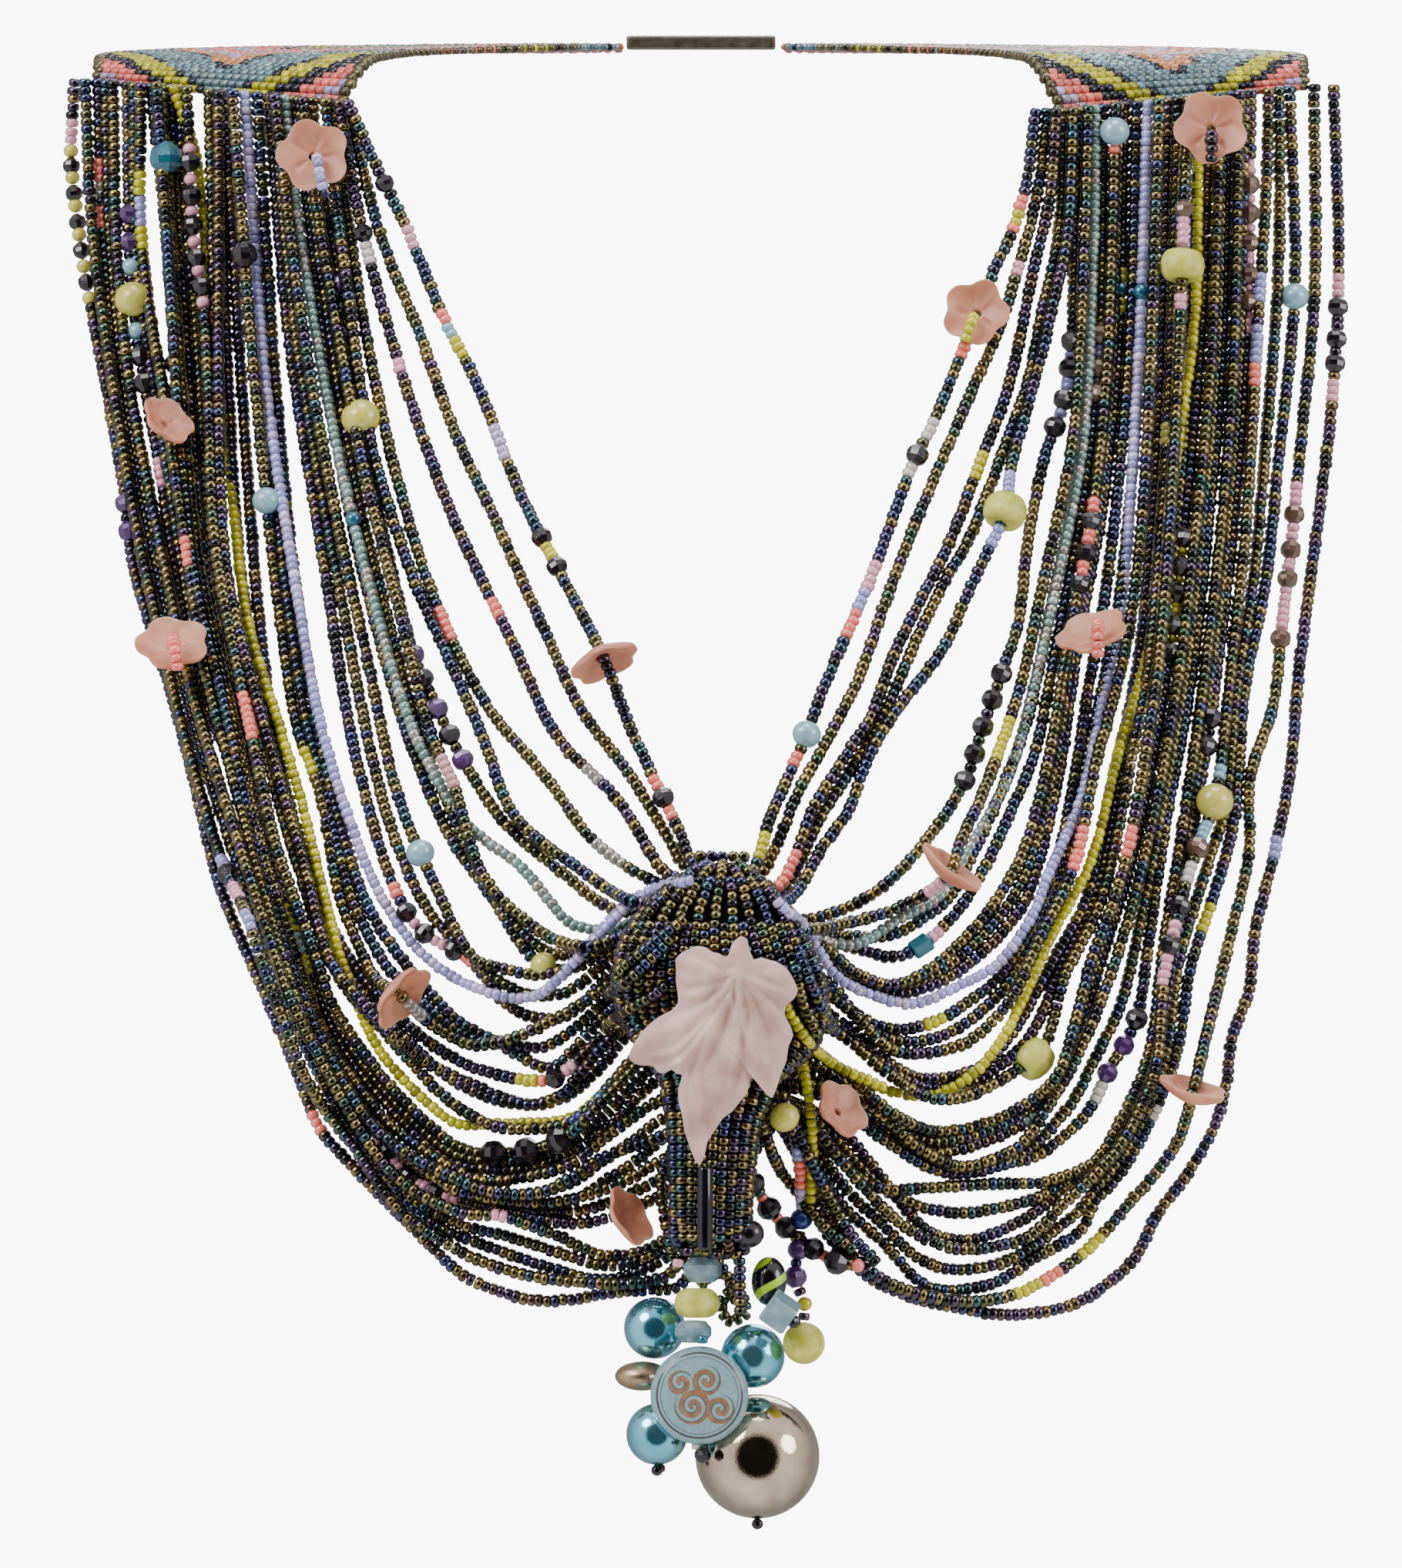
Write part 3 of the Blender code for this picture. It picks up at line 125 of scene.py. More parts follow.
# Strings from the neck outwards: left and right route, as x, y, x, y from the band to the middle
STRING_ROUTES = [
    ([455, 135, 493, 225, 525, 290, 575, 410, 620, 500, 675, 640, 723, 735, 783, 853, 820, 948,
      861, 1035, 878, 1070, 902, 1122],
     [1345, 150, 1335, 230, 1318, 290, 1285, 365, 1250, 455, 1213, 545, 1180, 615, 1140, 725, 1105, 810,
      1070, 890, 1047, 953, 1020, 1015, 1000, 1060, 974, 1135]),
    ([450, 140, 465, 200, 495, 310, 545, 435, 590, 560, 650, 690, 710, 825, 754, 920, 818, 1006,
      870, 1092, 896, 1130],
     [1360, 150, 1350, 240, 1330, 320, 1300, 420, 1265, 500, 1222, 600, 1180, 700, 1150, 780, 1110, 890,
      1060, 985, 1035, 1030, 1015, 1080, 982, 1142]),
    ([440, 135, 470, 300, 518, 475, 560, 600, 605, 710, 668, 840, 722, 954, 802, 1038, 848, 1112,
      870, 1136],
     [1372, 150, 1365, 250, 1345, 340, 1310, 500, 1273, 599, 1235, 699, 1205, 759, 1160, 850, 1130, 930,
      1095, 985, 1055, 1050, 1030, 1115, 1005, 1152]),
    ([430, 135, 460, 350, 485, 490, 520, 640, 565, 780, 630, 912, 710, 1010, 772, 1092, 852, 1144],
     [1383, 150, 1376, 300, 1350, 420, 1333, 502, 1299, 595, 1258, 699, 1224, 759, 1185, 840, 1150, 920,
      1110, 990, 1064, 1062, 1042, 1110, 1012, 1158]),
    ([422, 130, 440, 300, 478, 560, 532, 740, 576, 840, 630, 964, 668, 1058, 748, 1124, 825, 1170],
     [1394, 152, 1388, 300, 1362, 420, 1342, 500, 1314, 601, 1305, 663, 1285, 710, 1256, 771, 1225, 840,
      1180, 900, 1145, 950, 1120, 1000, 1102, 1050, 1067, 1100, 1018, 1170]),
    ([405, 125, 410, 205, 435, 340, 453, 470, 465, 530, 500, 705, 537, 850, 568, 920, 601, 986,
      656, 1068, 730, 1132, 800, 1180],
     [1404, 152, 1397, 300, 1393, 445, 1383, 517, 1358, 589, 1335, 701, 1322, 810, 1300, 874, 1276, 943,
      1252, 1013, 1210, 1080, 1155, 1142, 1100, 1177, 1035, 1194]),
    ([368, 125, 385, 290, 430, 550, 475, 740, 535, 945, 603, 1065, 678, 1126, 739, 1196, 790, 1206,
      840, 1192],
     [1424, 150, 1422, 300, 1408, 560, 1376, 740, 1340, 900, 1310, 1005, 1265, 1090, 1222, 1160,
      1165, 1192, 1110, 1225, 1040, 1216]),
    ([392, 125, 415, 300, 470, 600, 520, 800, 559, 950, 590, 1020, 629, 1138, 701, 1208, 757, 1228,
      805, 1215, 850, 1195],
     [1414, 152, 1410, 300, 1395, 560, 1358, 740, 1322, 900, 1275, 1030, 1247, 1090, 1232, 1132,
      1200, 1160, 1140, 1187, 1075, 1202, 1035, 1206]),
    ([380, 125, 395, 250, 428, 520, 465, 720, 526, 944, 581, 1079, 638, 1163, 685, 1235, 720, 1258,
      760, 1250, 820, 1215],
     [1435, 150, 1430, 450, 1405, 660, 1375, 820, 1345, 970, 1310, 1057, 1277, 1127, 1240, 1185,
      1195, 1227, 1157, 1241, 1100, 1227, 1055, 1212]),
    ([355, 125, 388, 400, 430, 640, 477, 856, 515, 1027, 565, 1148, 613, 1240, 660, 1258, 700, 1264,
      740, 1255, 830, 1205],
     [1450, 150, 1440, 450, 1420, 660, 1390, 820, 1360, 990, 1330, 1100, 1295, 1165, 1257, 1212,
      1210, 1255, 1160, 1277, 1110, 1262, 1060, 1225]),
    ([345, 125, 375, 450, 415, 700, 455, 950, 499, 1115, 540, 1200, 612, 1247, 656, 1300, 690, 1318,
      730, 1320, 760, 1298, 830, 1235],
     [1463, 148, 1455, 450, 1432, 660, 1402, 820, 1375, 1000, 1337, 1155, 1300, 1210, 1240, 1262,
      1180, 1287, 1130, 1287, 1060, 1238]),
    ([315, 130, 328, 330, 350, 550, 390, 800, 419, 950, 449, 1049, 488, 1148, 537, 1225, 592, 1269,
      667, 1295, 712, 1282, 778, 1210, 814, 1172, 865, 1147, 898, 1142],
     [1492, 145, 1483, 400, 1472, 600, 1458, 780, 1430, 920, 1402, 1040, 1362, 1130, 1337, 1192,
      1295, 1250, 1247, 1277, 1190, 1301, 1135, 1292, 1085, 1265, 1055, 1220, 1040, 1197, 1007, 1170]),
    ([332, 130, 352, 450, 378, 720, 416, 961, 452, 1104, 485, 1189, 537, 1263, 595, 1324, 641, 1349,
      708, 1385, 735, 1372, 820, 1290],
     [1478, 146, 1468, 450, 1440, 740, 1412, 900, 1385, 1060, 1350, 1180, 1295, 1268, 1252, 1302,
      1212, 1326, 1160, 1335, 1110, 1315, 1065, 1270]),
    ([300, 127, 325, 450, 355, 740, 383, 933, 416, 1032, 444, 1170, 487, 1269, 518, 1288, 559, 1327,
      608, 1354, 650, 1351, 688, 1338, 760, 1300, 820, 1262],
     [1507, 145, 1495, 450, 1485, 660, 1462, 840, 1420, 1000, 1395, 1120, 1345, 1225, 1315, 1290,
      1265, 1345, 1210, 1365, 1155, 1360, 1065, 1285]),
    ([288, 125, 308, 450, 335, 800, 365, 1000, 410, 1150, 452, 1240, 518, 1319, 597, 1376, 669, 1398,
      721, 1398, 775, 1350, 840, 1285],
     [1520, 145, 1510, 450, 1498, 660, 1478, 860, 1445, 1010, 1412, 1160, 1362, 1255, 1310, 1345,
      1270, 1385, 1209, 1399, 1168, 1388, 1065, 1310]),
    ([268, 122, 287, 700, 339, 950, 380, 1100, 436, 1260, 498, 1335, 570, 1415, 625, 1453, 669, 1464,
      747, 1452, 820, 1375, 845, 1345],
     [1532, 145, 1522, 450, 1510, 660, 1492, 860, 1462, 1020, 1432, 1160, 1380, 1270, 1362, 1340,
      1340, 1373, 1306, 1396, 1256, 1421, 1204, 1423, 1150, 1390, 1065, 1330]),
    ([225, 115, 252, 200, 270, 400, 295, 600, 320, 800, 365, 950, 394, 1049, 419, 1151, 444, 1247,
      487, 1352, 526, 1401, 570, 1442, 600, 1458, 647, 1457, 740, 1450, 780, 1420, 845, 1355],
     [1560, 140, 1555, 400, 1538, 530, 1517, 680, 1495, 830, 1452, 975, 1418, 1110, 1365, 1215,
      1325, 1300, 1297, 1352, 1253, 1400, 1201, 1421, 1146, 1412, 1094, 1388, 1050, 1355, 1020, 1320]),
    ([239, 116, 248, 305, 260, 385, 268, 500, 277, 700, 326, 950, 360, 1100, 411, 1240, 438, 1313,
      504, 1404, 564, 1464, 611, 1493, 684, 1492, 740, 1470, 810, 1400, 850, 1365],
     [1545, 143, 1537, 342, 1527, 560, 1512, 780, 1490, 960, 1457, 1130, 1415, 1250, 1377, 1385,
      1336, 1429, 1281, 1456, 1215, 1467, 1160, 1445, 1060, 1368]),
    ([217, 115, 262, 700, 318, 950, 350, 1100, 397, 1240, 441, 1350, 500, 1430, 560, 1490, 600, 1512,
      690, 1515, 780, 1470, 862, 1395],
     [1575, 140, 1565, 400, 1548, 600, 1525, 800, 1500, 970, 1465, 1130, 1425, 1260, 1388, 1390,
      1336, 1451, 1275, 1481, 1209, 1495, 1154, 1467, 1080, 1410, 1022, 1388]),
    ([205, 113, 252, 700, 306, 950, 340, 1100, 385, 1240, 427, 1350, 490, 1440, 540, 1485, 620, 1530,
      681, 1526, 740, 1510, 800, 1465, 862, 1425],
     [1588, 140, 1576, 450, 1554, 680, 1530, 880, 1497, 1060, 1462, 1200, 1420, 1320, 1375, 1410,
      1325, 1484, 1281, 1506, 1242, 1512, 1187, 1485, 1120, 1430, 1016, 1400]),
    ([192, 112, 212, 300, 229, 520, 246, 700, 293, 950, 330, 1100, 375, 1240, 410, 1350, 479, 1435,
      515, 1511, 586, 1552, 664, 1570, 740, 1559, 785, 1531, 830, 1503, 866, 1472],
     [1600, 140, 1591, 450, 1571, 680, 1548, 880, 1515, 1060, 1490, 1230, 1475, 1322, 1437, 1392,
      1410, 1445, 1352, 1495, 1308, 1509, 1230, 1522, 1150, 1480, 1075, 1425, 1012, 1412]),
    ([178, 111, 178, 280, 190, 400, 205, 480, 229, 640, 240, 710, 262, 850, 300, 1000, 340, 1150,
      390, 1310, 425, 1380, 500, 1475, 570, 1530, 610, 1548, 700, 1560, 790, 1540, 866, 1500],
     [1613, 138, 1605, 450, 1588, 680, 1564, 880, 1538, 1060, 1510, 1230, 1490, 1370, 1445, 1470,
      1415, 1510, 1352, 1533, 1292, 1535, 1215, 1539, 1149, 1542, 1116, 1528, 1072, 1484, 1010, 1420]),
    ([160, 112, 163, 300, 170, 400, 183, 490, 205, 610, 225, 740, 262, 900, 315, 1030, 338, 1165,
      375, 1290, 410, 1370, 470, 1446, 513, 1510, 549, 1539, 625, 1562, 716, 1583, 775, 1583,
      866, 1545],
     [1628, 136, 1622, 450, 1604, 680, 1580, 880, 1552, 1060, 1525, 1230, 1500, 1370, 1455, 1480,
      1377, 1545, 1325, 1583, 1256, 1608, 1201, 1594, 1160, 1548, 1130, 1510, 1090, 1465, 1010, 1428]),
    ([141, 108, 146, 300, 165, 500, 205, 700, 250, 900, 280, 1000, 345, 1200, 380, 1300, 460, 1450,
      520, 1530, 600, 1572, 650, 1576, 720, 1600, 790, 1628, 866, 1605],
     [1652, 133, 1648, 250, 1638, 400, 1620, 680, 1598, 880, 1580, 1030, 1553, 1105, 1530, 1180,
      1510, 1270, 1498, 1390, 1450, 1490, 1377, 1564, 1325, 1608, 1242, 1619, 1179, 1594, 1127, 1547,
      1083, 1495, 1058, 1465, 1008, 1436]),
    ([122, 108, 127, 280, 150, 500, 192, 700, 240, 900, 268, 1000, 335, 1200, 372, 1300, 445, 1450,
      505, 1530, 560, 1585, 645, 1620, 720, 1645, 790, 1658, 866, 1628],
     [1680, 125, 1686, 370, 1665, 580, 1645, 760, 1616, 905, 1605, 1054, 1578, 1156, 1545, 1257,
      1532, 1345, 1512, 1412, 1462, 1510, 1420, 1560, 1400, 1598, 1341, 1632, 1286, 1665, 1204, 1668,
      1143, 1608, 1094, 1564, 1062, 1510, 1048, 1470, 1006, 1444]),
    ([105, 110, 115, 300, 143, 500, 178, 700, 225, 900, 282, 1100, 322, 1190, 360, 1300, 405, 1410,
      470, 1500, 520, 1568, 600, 1623, 680, 1652, 760, 1662, 810, 1664, 870, 1650],
     [1712, 112, 1712, 370, 1692, 580, 1679, 712, 1665, 828, 1655, 915, 1624, 1010, 1622, 1109,
      1594, 1230, 1567, 1337, 1547, 1418, 1525, 1487, 1460, 1567, 1400, 1630, 1325, 1675, 1256, 1687,
      1182, 1674, 1127, 1646, 1090, 1605, 1062, 1540, 1038, 1475, 1004, 1452]),
    ([90, 112, 86, 200, 100, 320, 120, 430, 155, 620, 172, 740, 215, 880, 250, 1010, 287, 1155,
      345, 1290, 392, 1405, 417, 1465, 485, 1540, 550, 1605, 605, 1655, 675, 1682, 725, 1686, 790, 1676,
      840, 1672, 885, 1664],
     [1738, 118, 1744, 330, 1735, 510, 1713, 690, 1690, 860, 1677, 999, 1657, 1101, 1630, 1208,
      1622, 1285, 1600, 1345, 1592, 1405, 1575, 1465, 1540, 1525, 1502, 1575, 1470, 1635, 1420, 1677,
      1375, 1697, 1303, 1705, 1242, 1695, 1190, 1684, 1127, 1655, 1080, 1610, 1052, 1550, 1030, 1490,
      1002, 1460]),
]

STRING_SLOTS = {7: "seed_seafoam", 12: "seed_lavender", 17: "seed_lime"}

# Back to front: every other string first, then those between, then the ones that carry beads
LAYING_ORDER = [
    2, 4, 6, 9, 11, 13, 15, 19, 21, 23, 25, 27, 3, 7, 10, 20, 22, 24, 12, 17, 5, 16, 18, 14, 8, 26, 1,
]

# Pieces threaded on a string: name, string, drawing x, drawing y, kind, radius, height along the string
THREADED = [
    ("flower_inner_left", 1, 783, 853, "flower", 6.4, 0.0),
    ("flower_low_left", 14, 518, 1288, "flower", 6.6, 0.0),
    ("flower_low_right", 8, 1232, 1132, "flower", 6.6, 0.0),
    ("flower_outer_right", 26, 1547, 1418, "flower", 6.2, 0.0),
    ("rondelle_inner_right", 5, 1305, 663, "rondelle", 3.9, 5.4),
    ("rondelle_low_right", 16, 1340, 1373, "rondelle", 3.6, 6.4),
    ("rondelle_top_right", 18, 1537, 342, "rondelle", 4.0, 5.4),
]

# Flowers that lie on the strings: name, tilt of the top towards the back, roll in the view, radius
LYING_FLOWERS = [
    ("flower_top_left", 12.0, 0.0, 6.6),
    ("flower_top_right", 12.0, 10.0, 6.7),
    ("flower_neck_right", 18.0, 30.0, 6.1),
    ("flower_side_left", 48.0, 2.0, 6.7),
    ("flower_side_right", 60.0, 18.0, 6.6),
    ("flower_hidden_left", 55.0, -40.0, 5.2),
    ("flower_drop_left", 62.0, -60.0, 5.8),
    ("flower_drop_right", 52.0, -55.0, 5.6),
]

# Left band from its hanging edge over the shoulder to the nape: inner x y z, outer x y z
BAND_ROWS = [
    (-63.4, -26.0, -9.5, -107.6, 1.0, -5.4),
    (-61.5, -24.2, -5.4, -107.3, 2.4, -2.6),
    (-59.6, -20.0, -2.4, -107.0, 6.0, -0.8),
    (-57.6, -12.0, -0.6, -106.5, 13.0, 0.0),
    (-55.4, 0.0, 0.1, -104.0, 24.0, 0.6),
    (-52.0, 15.0, 0.8, -97.0, 38.0, 1.2),
    (-46.0, 30.0, 1.4, -84.0, 54.0, 1.8),
    (-37.0, 42.0, 1.9, -64.0, 65.5, 2.2),
    (-25.5, 50.5, 2.4, -40.0, 69.0, 2.5),
    (-14.0, 55.0, 2.6, -14.0, 69.0, 2.6),
]

# Gathered hump and the bundle under it: drawing y, drawing left, drawing right, thickness
HUMP_ROWS = [
    (1119, 915, 960, 4.0),
    (1130, 895, 978, 6.5),
    (1150, 865, 1003, 8.5),
    (1180, 830, 1028, 9.5),
    (1220, 803, 1050, 10.5),
    (1270, 792, 1073, 11.0),
    (1320, 802, 1078, 11.0),
    (1360, 830, 1060, 10.0),
    (1400, 856, 1012, 9.0),
    (1460, 866, 986, 9.0),
    (1540, 868, 978, 9.0),
    (1600, 868, 976, 8.0),
    (1618, 874, 974, 6.5),
    (1626, 946, 974, 4.6),
    (1704, 948, 972, 4.2),
]

# Hanging cluster: name, slot, shape, radius, half height
CLUSTER = [
    ("drop_rondelle_upper", "pale_blue_glass", "rondelle", 3.4, 2.3),
    ("drop_rondelle_yellow", "yellow_green_glass", "rondelle", 4.0, 2.6),
    ("drop_rondelle_lower", "pale_blue_glass", "rondelle", 3.3, 2.0),
    ("drop_pearl_upper", "turquoise_pearl", "ball", 5.4, 0.0),
    ("drop_pearl_right", "turquoise_pearl", "ball", 5.6, 0.0),
    ("drop_pearl_lower", "turquoise_pearl", "ball_knob", 5.4, 0.0),
    ("drop_disc_bronze", "bronze_metal", "lentil", 4.8, 2.6),
    ("drop_disc_scroll", "carved_disc", "coin", 8.6, 2.4),
    ("drop_pearl_big", "silver_pearl", "ball_knob", 10.9, 0.0),
    ("drop_bead_striped", "striped_glass", "ball_tall", 3.1, 4.3),
    ("drop_cube", "pale_blue_glass", "cube", 2.6, 2.6),
    ("drop_bead_green", "yellow_green_glass", "ball", 3.7, 0.0),
]

# Extra strings that hang among the others: host string, route
FILL_STRINGS = [
    (15, [280, 128, 288, 700, 345, 950, 389, 1100, 427, 1240, 470, 1300, 512, 1345, 556, 1379,
        597, 1398, 652, 1423, 690, 1432, 730, 1419, 753, 1392, 790, 1350, 832, 1312]),
    (21, [199, 116, 245, 700, 300, 950, 333, 1100, 375, 1240, 418, 1350, 470, 1440, 520, 1490,
        600, 1532, 640, 1545, 695, 1548, 740, 1528, 785, 1500, 840, 1480, 866, 1470]),
]

# Short strands that hang beside the gathered bundle: colour mix, route
DANGLES = [
    ("gold", [962, 1500, 978, 1533, 998, 1566, 1020, 1591, 1055, 1619, 1086, 1635, 1124, 1642]),
    ("plum", [1012, 1438, 1033, 1478, 1038, 1520, 1040, 1580, 1036, 1620, 1032, 1655, 1044, 1690,
        1043, 1716]),
    ("lime", [1040, 1370, 1050, 1430, 1054, 1480, 1052, 1560]),
    ("gold", [985, 1440, 1000, 1490, 1015, 1520, 1034, 1545, 1070, 1590, 1110, 1622]),
    ("blue", [1012, 1415, 1050, 1500, 1075, 1550, 1104, 1600, 1140, 1640]),
    ("gold", [865, 1500, 858, 1540, 868, 1600, 880, 1640, 912, 1625]),
    ("gold", [905, 1668, 935, 1650, 955, 1668, 968, 1700, 946, 1712, 936, 1690, 950, 1672]),
    ("plum", [890, 1622, 905, 1620, 935, 1640, 960, 1690]),
]

# Ends of strings that pass in front of the gathered middle: colour mix, route
OVER_GATHER = [
    ("lime", [1018, 1300, 1030, 1322, 1050, 1352, 1080, 1378, 1110, 1394, 1150, 1411]),
    ("lavender", [762, 1232, 790, 1200, 820, 1172, 858, 1152, 902, 1141]),
    ("lavender", [1005, 1166, 1040, 1200, 1062, 1238, 1088, 1268, 1120, 1288]),
    ("gold", [800, 1262, 832, 1236, 862, 1212, 892, 1190]),
    ("blue", [790, 1290, 822, 1266, 850, 1238, 872, 1215]),
    ("gold", [785, 1330, 815, 1310, 845, 1292, 868, 1276]),
    ("gold", [1062, 1345, 1050, 1320, 1040, 1292, 1030, 1250]),
    ("blue", [1085, 1340, 1068, 1312, 1054, 1280, 1036, 1232]),
]

# Edge of the finished leaf with its small notches
LEAF_EDGE = [
    961, 1213, 969, 1216, 973, 1232, 977, 1245, 989, 1241, 1000, 1245, 1009, 1247, 1022, 1256,
    1030, 1270, 1036, 1284, 1031, 1294, 1019, 1304, 1017, 1315, 1025, 1328, 1030, 1342, 1022, 1356,
    1021, 1374, 1013, 1391, 1008, 1408, 1002, 1424, 996, 1419, 990, 1413, 982, 1398, 975, 1390,
    973, 1402, 970, 1416, 958, 1430, 950, 1441, 938, 1448, 929, 1463, 918, 1478, 915, 1496, 910, 1509,
    903, 1506, 895, 1484, 888, 1464, 886, 1446, 881, 1428, 880, 1410, 887, 1392, 879, 1392, 872, 1385,
    862, 1392, 853, 1389, 848, 1380, 836, 1381, 825, 1379, 815, 1371, 821, 1356, 831, 1340, 842, 1328,
    856, 1317, 872, 1310, 881, 1300, 880, 1288, 877, 1270, 878, 1256, 876, 1243, 886, 1234, 896, 1230,
    905, 1226, 917, 1228, 926, 1235, 934, 1236, 944, 1243, 947, 1232, 950, 1222,
]

LEAF_VEINS = [
    (960, 1252, 935, 1300, 905, 1400, 915, 1500), (955, 1262, 915, 1325, 870, 1365, 828, 1370),
    (957, 1270, 965, 1330, 985, 1370, 1004, 1405), (960, 1266, 1000, 1285, 1030, 1285),
    (950, 1262, 915, 1262, 885, 1250), (950, 1300, 955, 1360, 940, 1440),
    (945, 1290, 905, 1350, 880, 1385), (960, 1214, 958, 1236, 960, 1262),
]

# Coloured runs along the strings, by string and side: colour, from x, y, to x, y
RUNS = {
    (1, "left"): [("pink", 528, 296, 540, 322), ("coral", 573, 403, 577, 416),
        ("pale_blue", 584, 420, 593, 436), ("lime", 592, 442, 598, 456), ("lilac", 640, 552, 655, 586),
        ("lime", 713, 708, 717, 722), ("coral", 848, 1008, 855, 1022), ("coral", 867, 1048, 872, 1060)],
    (1, "right"): [("coral", 1328, 250, 1325, 266), ("lime", 1324, 268, 1319, 288),
        ("coral", 1318, 290, 1314, 300), ("lime", 1266, 412, 1256, 440),
        ("coral", 1254, 444, 1248, 460), ("clear", 1214, 546, 1207, 566),
        ("clear", 1184, 604, 1178, 620), ("pink", 1137, 732, 1127, 760),
        ("lavender", 1125, 764, 1116, 786), ("coral", 1112, 794, 1102, 822),
        ("coral", 1036, 980, 1030, 994), ("lime", 992, 1080, 984, 1114)],
    (2, "right"): [("pink", 1324, 338, 1320, 352)],
    (3, "left"): [("clear", 475, 316, 480, 340), ("pink", 508, 466, 512, 484),
        ("coral", 643, 778, 648, 794), ("silver", 760, 994, 772, 1008)],
    (3, "right"): [("lime", 1274, 590, 1266, 612), ("coral", 1030, 1112, 1008, 1148)],
    (4, "left"): [("coral", 570, 796, 584, 830), ("silver", 772, 1092, 808, 1112)],
    (5, "right"): [("lavender", 1313, 614, 1308, 636), ("lavender", 1297, 690, 1290, 706)],
    (6, "left"): [("lavender", 409, 196, 418, 246)],
    (6, "right"): [("lavender", 1393, 452, 1384, 506), ("lavender", 1380, 526, 1370, 550)],
    (8, "left"): [("dusty", 578, 986, 590, 1016)],
    (8, "right"): [("lime", 1312, 930, 1296, 978), ("pink", 1216, 1148, 1204, 1158)],
    (9, "right"): [("pink", 1214, 1206, 1204, 1218), ("lavender", 1430, 440, 1426, 520)],
    (10, "right"): [("coral", 1450, 176, 1449, 192), ("coral", 1421, 650, 1418, 664),
        ("coral", 1414, 690, 1411, 704), ("coral", 1407, 730, 1404, 744)],
    (11, "left"): [("coral", 513, 1148, 520, 1160), ("pink", 536, 1194, 544, 1206),
        ("pink", 565, 1220, 576, 1229), ("coral", 600, 1240, 616, 1250)],
    (11, "right"): [("lime", 1457, 350, 1457, 364), ("lime", 1456, 386, 1456, 400)],
    (13, "right"): [("lime", 1226, 1318, 1200, 1330)],
    (14, "left"): [("lime", 398, 978, 404, 1004), ("silver", 529, 1297, 548, 1318)],
    (14, "right"): [("coral", 1408, 1076, 1394, 1126)],
    (15, "left"): [("lime", 672, 1399, 700, 1400), ("coral", 701, 1400, 712, 1400),
        ("pink", 732, 1388, 744, 1380)],
    (16, "left"): [("coral", 270, 405, 272, 420), ("blue_bright", 742, 1452, 752, 1450)],
    (16, "right"): [("yellow", 1516, 550, 1515, 578)],
    (18, "left"): [("coral", 316, 905, 328, 962)],
    (18, "right"): [("pink", 1543, 284, 1542, 316), ("pink", 1536, 378, 1535, 394),
        ("coral", 1468, 1076, 1460, 1112)],
    (19, "left"): [("lime", 372, 1180, 379, 1206), ("pale_blue", 384, 1212, 392, 1236),
        ("lime", 396, 1240, 406, 1268)],
    (19, "right"): [("lime", 1537, 704, 1522, 842), ("seafoam", 1344, 1444, 1326, 1456)],
    (21, "left"): [("coral", 220, 386, 221, 416)],
    (21, "right"): [("clear", 1428, 1408, 1418, 1428)],
    (22, "left"): [("lime", 178, 222, 178, 250), ("lavender", 178, 252, 178, 288),
        ("lime", 179, 290, 181, 318), ("coral", 241, 702, 244, 732)],
    (23, "left"): [("pink", 203, 602, 209, 632), ("pink", 512, 1505, 516, 1516),
        ("pink", 546, 1536, 556, 1542), ("pink", 580, 1550, 590, 1554)],
    (23, "right"): [("pink", 1626, 208, 1625, 222), ("pink", 1625, 248, 1625, 262),
        ("pink", 1624, 286, 1624, 300), ("pink", 1623, 326, 1623, 340), ("pink", 1622, 364, 1622, 378),
        ("pink", 1622, 404, 1622, 420)],
    (24, "left"): [("pink", 640, 1574, 652, 1577)],
    (24, "right"): [("lavender", 1641, 352, 1638, 386), ("lavender", 1637, 426, 1635, 470),
        ("coral", 1634, 474, 1633, 496), ("pale_blue", 1583, 992, 1581, 1010),
        ("pale_blue", 1568, 1070, 1562, 1088), ("clear", 1550, 1120, 1544, 1142),
        ("pink", 1526, 1196, 1520, 1216), ("pink", 1512, 1240, 1508, 1274)],
    (25, "left"): [("coral", 124, 204, 125, 230), ("silver", 125, 232, 126, 248),
        ("coral", 126, 262, 128, 290)],
    (25, "right"): [("lime", 1574, 1180, 1565, 1208), ("clear", 1500, 1432, 1494, 1446)],
    (26, "left"): [("lavender", 288, 1112, 296, 1132), ("pink", 304, 1150, 312, 1168),
        ("lavender", 318, 1184, 326, 1204)],
    (26, "right"): [("lime", 1420, 1606, 1400, 1628), ("coral", 1370, 1648, 1358, 1656),
        ("lime", 1344, 1664, 1322, 1676), ("pink", 1688, 628, 1685, 650),
        ("pink", 1683, 680, 1680, 704), ("pink", 1676, 720, 1672, 744), ("pink", 1670, 760, 1668, 812)],
    (27, "left"): [("pink", 86, 154, 86, 188), ("coral", 409, 1444, 418, 1468)],
    (27, "right"): [("pink", 1742, 358, 1741, 376), ("pink", 1737, 488, 1734, 516),
        ("lavender", 1660, 1092, 1655, 1112)],
}

